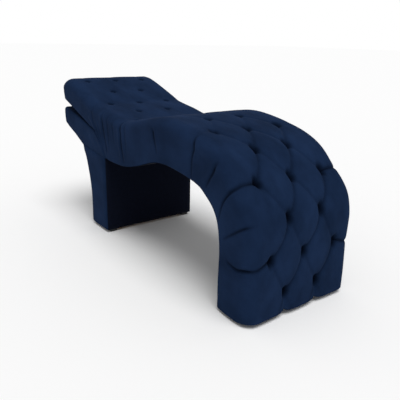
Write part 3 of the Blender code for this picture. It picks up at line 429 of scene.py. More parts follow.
FLARE = curve_through(
    np.array(((0.197, 0.02), (0.198, 0.167), (0.193, 0.314), (0.174, 0.454), (0.148, 0.562)))
    * (LENGTH, HEIGHT)
)
PEDESTAL_HALF = 0.3165
PEDESTAL_LOW, PEDESTAL_TOP = 0.0160, 0.508
PEDESTAL_CORNER, PEDESTAL_THICK = 0.006, 0.0022
TURNED_IN = (-0.024, -0.015)
HEM_SHARES, HEM_TUCK, ABOVE_HEM_SHARE = (0.0, 0.0, 0.002), (0.014, 0.004, 0.0010), 0.008
BEHIND_SLAB = 0.004
CORNER_POINTS, SIDE_POINTS, FACE_POINTS, LEVELS = 7, 24, 61, 62
SAMPLE_ROW = 20
PEDESTAL_PULL, ROUND_WAVE, UP_WAVE, SWAY_WAVE = 0.0011, 0.043, 0.058, 0.11
SLACK, SLACK_AT, SLACK_SWAY, SLACK_WIDE = 0.0022, 0.455, 0.018, 0.014
DRAWN_TIGHT = (0.03, 0.09)
INSIDE_PEDESTAL = (-0.47, 0.0, 0.25)


def pedestal_cloth_grid():
    """Outer points of the pedestal's cloth, and how far round and up each lies.

    A row is a level path: in behind the lining, round the back corner by a quarter circle,
    along the side, round the front corner and across the flared face, then the same mirrored.
    Rows rise from the turned-under hem by even shares of the height under the slab's slope.
    """
    turn = quarter_turn(CORNER_POINTS)
    side = np.linspace(0.0, 1.0, SIDE_POINTS + 2)[1:-1]
    face = np.linspace(1.0, -1.0, FACE_POINTS + 2)[1:-1]
    back_share = np.hstack([np.ones(len(TURNED_IN) + CORNER_POINTS), 1 - side, 0 * turn])
    along = np.hstack([
        np.zeros(len(TURNED_IN)), PEDESTAL_CORNER * (np.cos(turn) - 1),
        side * PEDESTAL_CORNER - (1 - side) * PEDESTAL_CORNER, PEDESTAL_CORNER * (1 - np.sin(turn)),
    ])
    inwards = np.hstack([
        TURNED_IN, PEDESTAL_CORNER * (np.sin(turn) - 1), 0 * side, PEDESTAL_CORNER * (np.cos(turn) - 1),
    ])
    near = np.ones(len(along))
    across = np.hstack([near, face, -near])
    back_share = np.hstack([back_share, 0 * face, back_share[::-1]])
    along = np.hstack([along, 0 * face, along[::-1]])
    inwards = np.hstack([inwards, -face * PEDESTAL_CORNER, -inwards[::-1]])
    share = np.append(HEM_SHARES, np.linspace(ABOVE_HEM_SHARE, 1.0, LEVELS))[:, None]
    tuck = np.append(HEM_TUCK, np.zeros(LEVELS))[:, None]
    face_z = PEDESTAL_LOW + share * (PEDESTAL_TOP - PEDESTAL_LOW)
    face_x = np.interp(face_z, FLARE[:, 1], FLARE[:, 0]) + tuck
    x = back_share * PEDESTAL_INNER + (1 - back_share) * face_x + along
    y = across * (PEDESTAL_HALF - tuck) + inwards
    top = np.interp(x, SLAB_UNDER[:, 0], SLAB_UNDER[:, 1]) + BEHIND_SLAB
    z = PEDESTAL_LOW + share * (top - PEDESTAL_LOW)
    round_it = run_of(np.stack([x[SAMPLE_ROW], y[SAMPLE_ROW]], axis=1))
    return np.stack([x - LENGTH / 2, y, z], axis=-1), np.broadcast_to(round_it, z.shape), z


def outwards(grid, behind):
    """The grid's normals, turned so that at its middle they point away from a point."""
    normal = grid_normals(grid)
    middle = grid.shape[0] // 2, grid.shape[1] // 2
    return normal if normal[middle] @ (grid[middle] - behind) > 0 else -normal


pedestal, round_it, height_up = pedestal_cloth_grid()
pulls = np.sin(round_it / ROUND_WAVE + 4 * height_up) * np.sin(height_up / UP_WAVE + round_it / SWAY_WAVE)
slack = bell(height_up - SLACK_AT - SLACK_SWAY * np.sin(round_it * 9), SLACK_WIDE)
fullness = (PEDESTAL_PULL * pulls + SLACK * slack) * step_up(height_up, *DRAWN_TIGHT)
pedestal += outwards(pedestal, INSIDE_PEDESTAL) * fullness[..., None]
pedestal_cover = cloth_shell(
    "pedestal_cover_cloth", pedestal, set_in(pedestal, PEDESTAL_THICK),
    np.stack([round_it, height_up], axis=-1), velvet,
)
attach(pedestal_cover, "base")
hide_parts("pedestal_cover")

# Slab cover. Velvet with thin wadding over the fixed slab under the head pad: top sheet, head
# end and both sides in one, turned under and stapled behind the dust lining.

# From the middle to the outer buttons, and cells of the grid from one column of buttons to the next
ACROSS, CELLS, TOP_POINTS = 0.20, 26, 73
TOP_YS = ACROSS / 2 / CELLS * np.arange(TOP_POINTS)
SHOULDER_POINTS, STRAIGHT_POINTS, ROLL_POINTS, HEM_POINTS = 11, 22, 3, 3
HEM_WIDE, UNDER_BOARD = 0.018, 0.0012
END_FULL_AT, END_RUN = 0.05, 0.09


def section_of(at, foot, half, corner, roll, draw):
    """Outer points of cloth drawn over a pad, one section to each station.

    Across the top it follows the seat point, over the shoulder a quarter circle towards
    the foot point, down a straight side that draws in, round a quarter circle under the
    edge and a hem's width inwards. Columns stay in place up to the outer buttons and
    stretch from there to the shoulder. Half, corner, roll and draw are one to a station or
    one for all. The halves mirror each other.
    """
    at, foot = at[:, None, :], foot[:, None, :]
    half, corner, roll, draw = (
        np.broadcast_to(value, len(at))[:, None] for value in (half, corner, roll, draw)
    )
    down = foot - at
    deep = np.linalg.norm(down, axis=2)
    down = down / deep[..., None]
    deep = deep + UNDER_BOARD
    turn = quarter_turn(SHOULDER_POINTS)[None, :]
    side = np.linspace(0.0, 1.0, STRAIGHT_POINTS + 1)[None, 1:]
    under = quarter_turn(ROLL_POINTS + 1)[None, 1:]
    inwards = np.linspace(0.0, HEM_WIDE, HEM_POINTS + 1)[None, 1:]
    flat = TOP_YS[None, :-1]
    flat = flat + (half - corner - TOP_YS[-1]) * np.clip((flat - ACROSS) / (TOP_YS[-1] - ACROSS), 0, 1)
    straight = deep - corner - roll
    drop = np.hstack([
        0 * flat, corner * (1 - np.cos(turn)), corner + straight * side,
        deep - roll + roll * np.sin(under), deep + 0 * inwards,
    ])
    y = np.hstack([
        flat, half - corner + corner * np.sin(turn), half - draw * side,
        half - draw - roll * (1 - np.cos(under)), half - draw - roll - inwards,
    ])
    drop = np.hstack([drop[:, :0:-1], drop])
    y = np.hstack([-y[:, :0:-1], y])
    flat_points = at + down * drop[..., None]
    grid = np.stack([flat_points[..., 0] - LENGTH / 2, y, flat_points[..., 1]], axis=-1)
    steps = np.linalg.norm(np.diff(grid, axis=1), axis=2)
    across = np.hstack([0 * deep, steps.cumsum(axis=1)])
    return grid, across - across[:, across.shape[1] // 2][:, None], drop


def end_face(grid, across, drop, centre, count, bulge):
    """Closes the first section towards a point on its lower edge, with rings in front of it.

    Ring k is the section drawn in to the point by its share, and swells out a little.
    """
    share = np.linspace(0.0, 1.0, count + 1)[:-1, None]
    rings = centre + (grid[:1] - centre) * share[..., None]
    rings[..., 0] -= bulge * (1 - share**2) * np.clip((rings[..., 2] - centre[2]) / END_FULL_AT, 0, 1)
    return (
        np.vstack([rings, grid]), np.vstack([across[:1] * share, across]),
        np.vstack([drop[:1] + 0 * share, drop]),
    )


SLAB_TOP = np.array(((0.0, 0.7182), (0.4332, 0.6282), (0.5354, 0.603)))
SLAB_FOOT = np.array((
    (0.0, 0.0), (0.05, 0.053), (0.12, 0.125), (0.19, 0.205), (0.27, 0.285), (0.37, 0.40),
    (0.45, 0.51), (0.50, 0.612),
))
SEAM = np.array(((0.437, 0.6325), (0.478, 0.6125), (0.520, 0.580), (0.563, 0.535), (0.602, 0.486)))
SLAB_OUT = np.array((0.204, 0.979))
SLAB_ROUND, SLAB_HALF, SLAB_THICK = 0.020, 0.3175, 0.004
SLAB_FLAT_FROM, SLAB_END, LAST_RING = 0.026, 0.50, 0.003
SLAB_SHOULDER, SLAB_ROLL, SLAB_DRAW = 0.016, 0.005, 0.001
SLAB_RINGS, ROUND_POINTS, SLAB_STATIONS = 12, 7, 82
SLAB_LOW_POINT, SLAB_BULGE = np.array((-0.95, 0.0, 0.6212)), 0.003
COVER_TIP = (-0.001, 0.6228)
SLAB_SIDE, DRAPES_START = (0.30, 0.34), (0.12, 0.36)
SLAB_BELLY, DRAPE, DRAPE_SLANT, DRAPE_WAVE, DRAPE_SWAY = 0.0022, 0.0011, 0.62, 0.016, 0.07
TOP_PULL, TOP_WAVE, TOP_SWAY = 0.0008, 0.035, 0.05
SLIPS_BEHIND, SLIPS_IN = (-0.020, 0.0), 0.028
INSIDE_SLAB = (-0.75, 0.0, 0.6)


def slab_cloth_grid():
    """Outer points of the slab's cloth, and how far along and across the cloth each lies.

    The head end's top edge is a quarter circle. The sides are a little full, with faint
    slanting drapes, and draw in where they slip behind the couch's own cover.
    """
    quarter = np.linspace(np.pi / 2, 0.0, ROUND_POINTS)
    straight = np.linspace(SLAB_FLAT_FROM, SLAB_END, SLAB_STATIONS)
    x = np.append(SLAB_ROUND * (1 - np.sin(quarter)), straight)
    inset = np.append(SLAB_ROUND * (1 - np.cos(quarter)), 0 * straight)
    at = np.stack([x, np.interp(x, SLAB_TOP[:, 0], SLAB_TOP[:, 1])], axis=1)
    feet = curve_through(SLAB_FOOT)
    foot_x = np.interp(x, feet[:, 0], feet[:, 1])
    under = np.vstack([COVER_TIP, SLAB_UNDER, BODY_UNDER[1:4]])
    foot = np.stack([foot_x, np.interp(foot_x, under[:, 0], under[:, 1])], axis=1)
    grid, across, drop = section_of(
        at - SLAB_OUT * inset[:, None], foot, SLAB_HALF - inset, SLAB_SHOULDER, SLAB_ROLL, SLAB_DRAW
    )
    grid, across, drop = end_face(grid, across, drop, SLAB_LOW_POINT, SLAB_RINGS, SLAB_BULGE)
    run = np.append(np.linspace(-END_RUN, -LAST_RING, SLAB_RINGS), x)[:, None] + 0 * across
    plan_x, plan_z = grid[..., 0] + LENGTH / 2, grid[..., 2]
    on_side = step_up(np.abs(across), *SLAB_SIDE)
    belly = np.sin(np.pi * np.clip(drop / np.maximum(drop.max(axis=1), 1e-6)[:, None], 0, 1))
    slanting = (plan_x * DRAPE_SLANT + plan_z) / DRAPE_WAVE
    drape = np.sin(slanting + 2.2 * np.sin(plan_x / DRAPE_SWAY))
    drape = drape * step_up(plan_x, *DRAPES_START) * belly
    puff = SLAB_BELLY * belly * on_side + DRAPE * drape * on_side
    puff += TOP_PULL * (1 - on_side) * np.sin(plan_x / TOP_WAVE + across / TOP_SWAY)
    puff *= step_up(run, -END_RUN, 0.0)
    grid += outwards(grid, INSIDE_SLAB) * puff[..., None]
    seam_x = np.interp(grid[..., 2], SEAM[::-1, 1], SEAM[::-1, 0])
    grid[..., 1] *= 1 - SLIPS_IN * step_up(grid[..., 0] + LENGTH / 2 - seam_x, *SLIPS_BEHIND)
    return grid, np.stack([run, across], axis=-1)


slab, slab_uv = slab_cloth_grid()
slab_cover = cloth_shell(
    "slab_cover_cloth", slab, set_in(slab, SLAB_THICK), slab_uv, velvet
)
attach(slab_cover, "base")
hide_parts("slab_cover")

# Tufted cover. One continuous velvet over thick wadding and foam: the head pad, the soft
# stretch over the hinge and the wave down to the floor. Covered buttons pull it down in
# staggered rows, folds run from button to button, and pleats run out over both sides.

SEAT = np.array((
    (0.0, 0.970), (0.052, 0.966), (0.130, 0.916), (0.200, 0.866), (0.233, 0.841), (0.262, 0.829),
    (0.327, 0.809), (0.415, 0.780), (0.498, 0.814), (0.581, 0.851), (0.643, 0.866), (0.705, 0.858),
    (0.772, 0.836), (0.835, 0.802), (0.881, 0.753), (0.920, 0.680), (0.954, 0.613), (0.975, 0.550),
    (0.985, 0.467), (0.9865, 0.378), (0.9865, 0.222), (0.9865, 0.016),
)) * (LENGTH, HEIGHT)
FIRST_ROW, LAST_ROW_RISE, ROWS = 0.13, 0.105, 14
CROWN, FOLD_SHARE, PIT, PIT_RADIUS = 0.026, 0.45, 0.027, 0.0165
FOLD_SPACING, FOLD_WIDE, FOLD_BLUNT, LINE_WIDE = 0.173, 0.008, 0.006, 0.0048
PLEAT_WIDE, PLEAT_LINE_WIDE, LAST_PLEAT_DROP, DROPS_PAST = 0.006, 0.0045, 0.022, (0.21, 0.30)
BOW_SHARE, SLIGHTER, PLEATS_TAKE_OVER = 0.055, 0.60, (0.93, 1.07)
# The last is the reach of the painted shade round each pit.
PIT_APRON, DIP_REACH, PIT_SHADE_RADIUS = 0.030, 0.040, 0.0190
HEAD_DEPTH, SEAT_ADDS, FOOT_ADDS = 0.12, 0.16, 0.72

# Stretches of the seat line, as distances from the head end, over which the cover changes
FOLDS_BOW, PITS_DEEPEN, PITS_DEEPEST, PITS_LONGER = (0.2, 0.5), (0.55, 0.95), (1.22, 1.72), (1.2, 1.7)
PLEATS_DEEPEN, PLEATS_DROP, LINES_DARKEN = (1.55, 1.80), (1.9, 2.1), (1.45, 1.75)
SHOULDER_STARTS, SHOULDER_WIDENS, SIDES_DRAW_IN = (0.0, 0.06), (1.6, 2.0), (0.6, 0.8)
SIDES_WIDEN, SIDES_FILL, LEG_WIDENS = (1.5, 1.9), (1.5, 2.1), (1.5, 1.8)
TUFTS_START, WAVES_START = (-0.01, 0.06), (-0.02, 0.03)
SPAN = 24
seat_line = curve_through(SEAT, SPAN)
seat_run = run_of(seat_line)
seat_slope = np.gradient(seat_line, axis=0)
seat_out = np.stack([-seat_slope[:, 1], seat_slope[:, 0]], axis=1)
seat_out /= np.linalg.norm(seat_out, axis=1)[:, None]
SEAT_END = float(seat_run[-1])
PITCH = (SEAT_END - FIRST_ROW - LAST_ROW_RISE) / (ROWS - 1)
BUTTONS = [(row, side) for row in range(ROWS) for side in ((-1, 0, 1), (-0.5, 0.5))[row % 2]]
button_row = np.array([row for row, side in BUTTONS])
button_s = FIRST_ROW + PITCH * button_row
button_y = ACROSS * np.array([side for row, side in BUTTONS])

# Lower edge of the sides, as (seat x, foot x, foot z): the head pad's underside, the seam that
# runs down from the wedge's tip, then the arch, paired with the seat line's own points
HEAD_FOOT = (
    (0.0, 0.0, 0.773), (0.10, 0.10, 0.7405), (0.20, 0.20, 0.7077), (0.30, 0.30, 0.6749),
    (0.375, 0.375, 0.6500), (0.43, 0.437, 0.6325), (0.465, 0.478, 0.6125), (0.490, 0.520, 0.580),
    (0.515, 0.563, 0.535), (0.545, 0.602, 0.486), (0.585, 0.632, 0.4770),
)
HEAD_SPANS, PAIRED_FROM = 9, 6
LEG_WIDER = 0.006


def foot_of(s):
    """Lower edge of the side that faces the seat line at each distance s."""
    upper = np.array(HEAD_FOOT)
    head = slice(0, SPAN * HEAD_SPANS)
    s_upper = np.interp(upper[:, 0], seat_line[head, 0], seat_run[head])
    s_lower = seat_run[SPAN * PAIRED_FROM :: SPAN]
    knots = np.vstack([
        np.column_stack([s_upper, upper[:, 1:]]), np.column_stack([s_lower, BODY_UNDER[1:]]),
    ])
    line = curve_through(knots, SPAN)
    feet = at_run(line[:, 1:], line[:, 0], s)
    feet[:, 0] -= LEG_WIDER * step_up(s, *LEG_WIDENS)
    return feet


def on_seat(s):
    """Points of the seat line at the distances s along it, and the directions out of it."""
    out = at_run(seat_out, seat_run, s)
    return at_run(seat_line, seat_run, s), out / np.linalg.norm(out, axis=1)[:, None]


def swell(value, power):
    """Power of a sine squared, from near 0 where the value is whole to 1 between."""
    return (np.sin(np.pi * value) ** 2 + 0.012) ** power


def swollen(value):
    """The swell scaled to run from 0 where the value is whole to 1 between."""
    return swell(value, 0.35) / 0.787 - 0.271


def crease(value, unit=FOLD_SPACING, wide=FOLD_WIDE):
    """Rises from 0 in a crease, where the value is whole, to 1 away from it: 1 - exp(-gap)."""
    gap = np.hypot((value - np.round(value)) * unit, FOLD_BLUNT) - FOLD_BLUNT
    return 1 - np.exp(-gap / wide)


def tuft_height(s, y):
    """Height of the tufted face over the seat line, and the painted shade of its pits and folds.

    Two families of folds cross at the buttons, where both counts are whole; they bow a
    little towards the foot. Each fold is a crease whose walls rise as 1 - exp(-distance),
    and the pad between four folds swells as the product of powers of two sines. One family
    is slighter than the other. Past the outer buttons, and past the first and last rows,
    straight pleats take their place. Tufts are shallow on the head pad, deeper on the seat
    and deepest on the foot, and the colour is darkened in the pits and along the folds as
    painted shade.
    """
    along = (s - FIRST_ROW) / (2 * PITCH)
    across = y / ACROSS
    last = (ROWS - 1) / 2
    one, other = across + along, across - along
    bow = BOW_SHARE * step_up(s, *FOLDS_BOW)
    q = one - bow * np.abs(np.sin(np.pi * other))
    r = other + bow * np.abs(np.sin(np.pi * one))

    pads = swell(q, 0.175) * swell(r, 0.105)
    slighter = 1 - SLIGHTER * (1 - crease(r))
    inside = 0.30 * (pads / 0.539 - 0.855) + 0.70 * crease(q) * slighter
    past_edge = step_up(np.abs(y), *DROPS_PAST) * step_up(s, *PLEATS_DROP)
    drawn = along - LAST_PLEAT_DROP / (2 * PITCH) * past_edge
    pleat = 0.4 * swollen(drawn) + 0.6 * crease(drawn, 2 * PITCH, PLEAT_WIDE)
    pleat = 1 - (1 - pleat) * (0.15 + 0.85 * step_up(s, *PLEATS_DEEPEN))
    level = 0.5 * swollen(across) + 0.5 * crease(across, ACROSS)
    cross_level = 0.5 * swollen(across + 0.5) + 0.5 * crease(across + 0.5, ACROSS)
    outside = step_up(np.abs(across), *PLEATS_TAKE_OVER)
    pillow = inside * (1 - outside) + pleat * outside
    before = np.where(outside > 0.5, np.sqrt(np.maximum(level * pleat, 0)), level)
    after = np.where(np.abs(across) > 1, 1.0, cross_level)
    pillow = np.where(along < 0, before, np.where(along > last, after, pillow))

    strength = HEAD_DEPTH + SEAT_ADDS * step_up(s, *PITS_DEEPEN) + FOOT_ADDS * step_up(s, *PITS_DEEPEST)
    stretch = 1 + 0.7 * step_up(s, *PITS_LONGER)[..., None]
    far = np.hypot((s[..., None] - button_s) / stretch, y[..., None] - button_y).min(axis=-1)
    apron = np.exp(-far / PIT_APRON)
    pit = 0.88 * bell(far, PIT_RADIUS, 2.6) + 0.12 * apron
    dip = (0.52 + 0.33 * outside) + 0.75 * np.exp(-far / DIP_REACH)
    dip = 1 - strength * (1 - FOLD_SHARE) * (1 - pillow) * dip
    height = CROWN * dip - PIT * pit * (0.45 + 0.55 * strength)

    # Painted shade: dark lines along the folds and pleats, stronger low down and round the pits, and a
    # dark patch in each pit, darken the colour where shade falls.
    thin = crease(q, wide=LINE_WIDE) * (0.55 + 0.45 * crease(r, wide=LINE_WIDE))
    thin = np.where(outside > 0.5, crease(drawn, 2 * PITCH, PLEAT_LINE_WIDE), thin)
    low_down = step_up(s, *LINES_DARKEN)
    lines = (1 - thin) * strength * (low_down * (0.24 + 0.36 * outside) + 0.50 * apron)
    crease_shade = 0.95 * bell(far, PIT_SHADE_RADIUS, 3) * (0.60 + 0.40 * strength)
    return height, np.maximum(crease_shade, lines)


# Folds of the sides as the upholsterer's hands left them: points in the side view from the top
# edge down, then depth and half width
SIDE_FOLDS = (
    (((0.445, 0.750), (0.441, 0.718), (0.447, 0.688), (0.470, 0.625)), 0.0026, 0.0090),
    (((0.575, 0.722), (0.577, 0.690), (0.592, 0.635), (0.621, 0.530)), 0.0090, 0.0080),
    (((0.640, 0.720), (0.644, 0.670), (0.652, 0.610), (0.655, 0.560)), 0.0028, 0.0070),
    (((0.705, 0.712), (0.709, 0.660), (0.720, 0.600)), 0.0026, 0.0070),
    (((0.792, 0.706), (0.795, 0.672), (0.801, 0.600), (0.821, 0.515)), 0.0100, 0.0085),
    (((0.845, 0.715), (0.852, 0.650), (0.858, 0.570)), 0.0026, 0.0070),
    (((1.142, 0.738), (1.147, 0.720), (1.155, 0.690), (1.171, 0.630)), 0.0062, 0.0070),
    (((1.478, 0.755), (1.488, 0.712), (1.473, 0.665), (1.467, 0.581)), 0.0060, 0.0065),
    (((1.648, 0.672), (1.632, 0.635), (1.607, 0.600), (1.582, 0.562)), 0.0065, 0.0070),
    (((1.800, 0.618), (1.751, 0.580), (1.704, 0.520), (1.676, 0.440)), 0.0095, 0.0052),
    (((1.860, 0.462), (1.829, 0.442), (1.775, 0.405), (1.716, 0.363)), 0.0055, 0.0060),
    (((1.884, 0.270), (1.850, 0.267), (1.808, 0.258), (1.750, 0.268)), 0.0125, 0.0062),
)


def from_line(x, z, points):
    """Distance of every point from a line drawn through some points, and how far down it."""
    line = curve_through(points, 5)
    best, down = np.full(x.shape, np.inf), np.zeros(x.shape)
    for i, (a, b) in enumerate(zip(line, line[1:])):
        dx, dz = b - a
        t = np.clip(((x - a[0]) * dx + (z - a[1]) * dz) / (dx * dx + dz * dz), 0, 1)
        far = np.hypot(x - a[0] - t * dx, z - a[1] - t * dz)
        down = np.where(far < best, (i + t) / (len(line) - 1), down)
        best = np.minimum(best, far)
    return best, down


def round_off(gap, radius):
    """Quarter circle: how far it stands back from its tangent at each gap from its far end."""
    return radius - np.sqrt(np.maximum(radius**2 - np.maximum(radius - gap, 0) ** 2, 0))


def lowest(value, reach):
    """Least value of a grid within a reach of cells on both axes."""
    for axis in (0, 1):
        wide = np.pad(value, [(reach, reach) if axis == i else (0, 0) for i in (0, 1)], mode="edge")
        shifts = (np.arange(value.shape[axis]) + i for i in range(2 * reach + 1))
        value = np.min([wide.take(shift, axis=axis) for shift in shifts], axis=0)
    return value


END_ROUND, PLAN_ROUND, FLOOR_ROUND = 0.044, 0.026, 0.012
END_POINTS, FLOOR_POINTS, LEAST_RINGS = 8, 7, 12
COVER_HALF, COVER_WIDER, COVER_ROLL, COVER_DRAW = HALF - 0.0035, 0.004, 0.0055, 0.0015
SHOULDER, SHOULDER_MORE = 0.036, 0.012
WAIST_AT, WAIST_WIDE, WAIST_LESS = 0.68, 0.25, 0.010
TURNED_UNDER, TURNED_IN_PLAN = 0.073, 0.0285
TURNED_SHARES = np.array((0.10, 0.22, 0.38, 0.58, 0.80, 1.00))
COVER_LOW_POINT, COVER_BULGE = np.array((-0.95, 0.0, 0.7719)), 0.006
INSIDE_COVER = (-0.2, 0.0, 0.4)
WADDING, HEM_BAND, HEM_FULLNESS = 0.0035, 0.022, 0.35
TUFT_REACH = 0.31

# Distances across the cloth from its middle, over which the top passes into the side
EDGE = 0.262
TUFTS_END, FOLDS_START, SIDE_STARTS = (EDGE, EDGE + 0.085), (EDGE, 0.305), (0.285, 0.335)
# Across the sides the painted crease shade fades out between these distances, starting further out on the
# leg.
SHADE_ENDS, SHADE_MORE = (0.290, 0.345), 0.04

# Fullness and folds of the sides, and the fan of drapes from a point under the wedge's tip
SIDE_BELLY, BELOW_SHOULDER = 0.0035, 0.03
GROOVE_LEAST, DARK_DEPTH = 0.0040, 0.0068
FAN_X, FAN_Z = 0.60, 0.50
FAN_STARTS, FAN_ENDS, FAN_SHARES = (0.62, 0.80), (1.42, 1.62), (0.20, 0.60)
FAN_FROM, FAN_LONG, FAN_DEPTH, FAN_TURN, FAN_SWAY = 0.02, 0.33, 0.0045, 0.040, 0.05
GATHER, GATHER_WAVE, GATHER_SWAY = 0.0012, 0.0072, 0.05
GATHERED_AT = ((0.60, 0.035), (0.80, 0.045))
WAVES, WAVE_ALONG, WAVE_ACROSS, SWAY_ALONG, SWAY_ACROSS = 0.0013, 0.083, 0.067, 0.19, 0.11

# The foot's lower edge: cloth pushed out level there, and lifted under the last two pleats
LEVEL_FROM, LEVEL_TO, LIFT_FROM, LIFT_ENDS = 0.05, 0.012, 0.075, (0.0, 0.03)
FLOOR_LIFT, FLOOR_LIFT_WIDE, FLOOR_SINK = 0.015, 0.022, 0.0016


def cover_sections():
    """Plain sections of the cover: points, distances across and down, and distances along.

    Stations crowd round the edges of the head end and the floor. Between them each row of
    buttons is a whole number of stations from the next. The last ones turn in under the foot,
    where the distance along stops and the run goes on. The leg stands a little wider.
    """
    step = PITCH / CELLS
    head_s = END_ROUND * (1 - np.sin(np.linspace(np.pi / 2, 0.0, END_POINTS + 1)[:-1]))
    first = math.ceil((END_ROUND - FIRST_ROW) / step)
    last = int((SEAT_END - FLOOR_ROUND - FIRST_ROW) / step)
    low_s = SEAT_END - FLOOR_ROUND * (1 - np.sin(quarter_turn(FLOOR_POINTS)))
    s = np.hstack([head_s, FIRST_ROW + np.arange(first, last) * step, low_s])
    low_in = round_off(SEAT_END - s, FLOOR_ROUND)
    inset = round_off(s, END_ROUND) + low_in
    inset = np.append(inset, FLOOR_ROUND + TURNED_UNDER * TURNED_SHARES)
    plan_in = round_off(s, PLAN_ROUND) + 0.25 * low_in - COVER_WIDER * step_up(s, *SIDES_WIDEN)
    plan_in = np.append(plan_in, plan_in[-1] + TURNED_IN_PLAN * TURNED_SHARES)
    run_on = np.append(0 * s, TURNED_UNDER * TURNED_SHARES)
    s = np.append(s, SEAT_END + 0 * TURNED_SHARES)
    at, out = on_seat(s)
    shoulder = SHOULDER - WAIST_LESS * bell(s - WAIST_AT, WAIST_WIDE)
    shoulder = shoulder + SHOULDER_MORE * step_up(s, *SHOULDER_WIDENS)
    shoulder = shoulder - SHOULDER_MORE * (1 - step_up(s, *SHOULDER_STARTS))
    draw = COVER_DRAW + COVER_DRAW * step_up(s, *SIDES_DRAW_IN)
    grid, across, drop = section_of(
        at - out * inset[:, None], foot_of(s), COVER_HALF - plan_in, shoulder, COVER_ROLL, draw
    )
    return grid, across, drop, s[:, None] + 0 * across, run_on[:, None]


def worked_sides(puff, crease_shade, plan_x, plan_z, across, drop, s):
    """Adds the fullness and the folds of the sides to the relief and to the painted shade.

    Foam pushes the sides out between their edges. Each of the folds is a groove with a soft
    ridge beside it, fine drapes fan out from a point below the wedge's tip, and the cloth
    is gathered beside the two long folds there.
    """
    deepest = drop.max(axis=1)[:, None]
    on_side = step_up(np.abs(across), *SIDE_STARTS)
    belly = np.sin(np.pi * np.clip(drop / deepest, 0, 1) ** 0.8)
    puff = puff + (SIDE_BELLY + SIDE_BELLY * step_up(s, *SIDES_FILL)) * belly * on_side
    over_edge = step_up(np.abs(across), *FOLDS_START)
    for points, depth, wide in SIDE_FOLDS:
        far, down = from_line(plan_x, plan_z, points)
        fade = (1 - 0.75 * down**1.5) * on_side
        puff -= depth * bell(far, 1.25 * wide) * fade
        puff += 0.30 * depth * bell(far - 2.4 * wide, 1.4 * wide) * fade
        # Painted shade: the colour darkens along each fold's groove.
        dark = min(0.92, depth / DARK_DEPTH) * bell(far, GROOVE_LEAST + 0.38 * wide)
        dark = dark * (1 - 0.6 * down**2) * over_edge * (0.3 + 0.7 * step_up(down, 0.0, 0.22))
        crease_shade = np.maximum(crease_shade, dark)
    below = BELOW_SHOULDER
    side_share = np.clip((drop - below) / np.maximum(deepest - below, 1e-6), 0, 1)
    fan = np.arctan2(plan_z - FAN_Z, FAN_X - plan_x)
    spread = np.hypot(plan_z - FAN_Z, plan_x - FAN_X)
    window = step_up(fan, *FAN_STARTS) * (1 - step_up(fan, *FAN_ENDS))
    window = window * np.sin(np.pi * np.clip((spread - FAN_FROM) / FAN_LONG, 0, 1))
    window = window * step_up(side_share, *FAN_SHARES) * on_side
    drape = np.sin(fan / FAN_TURN + 5 * spread + 1.2 * np.sin(spread / FAN_SWAY))
    puff += FAN_DEPTH * window * drape
    # Painted shade in the troughs of the drapes.
    crease_shade = np.maximum(crease_shade, 0.26 * window * step_up(-drape, 0.55, 1.0))
    gather = np.sin(plan_x / GATHER_WAVE + 1.4 * np.sin(plan_z / GATHER_SWAY))
    near_fold = sum(bell(plan_x - x, wide) for x, wide in GATHERED_AT)
    puff += GATHER * (gather * np.sin(np.pi * side_share)) * on_side * near_fold
    return puff, crease_shade


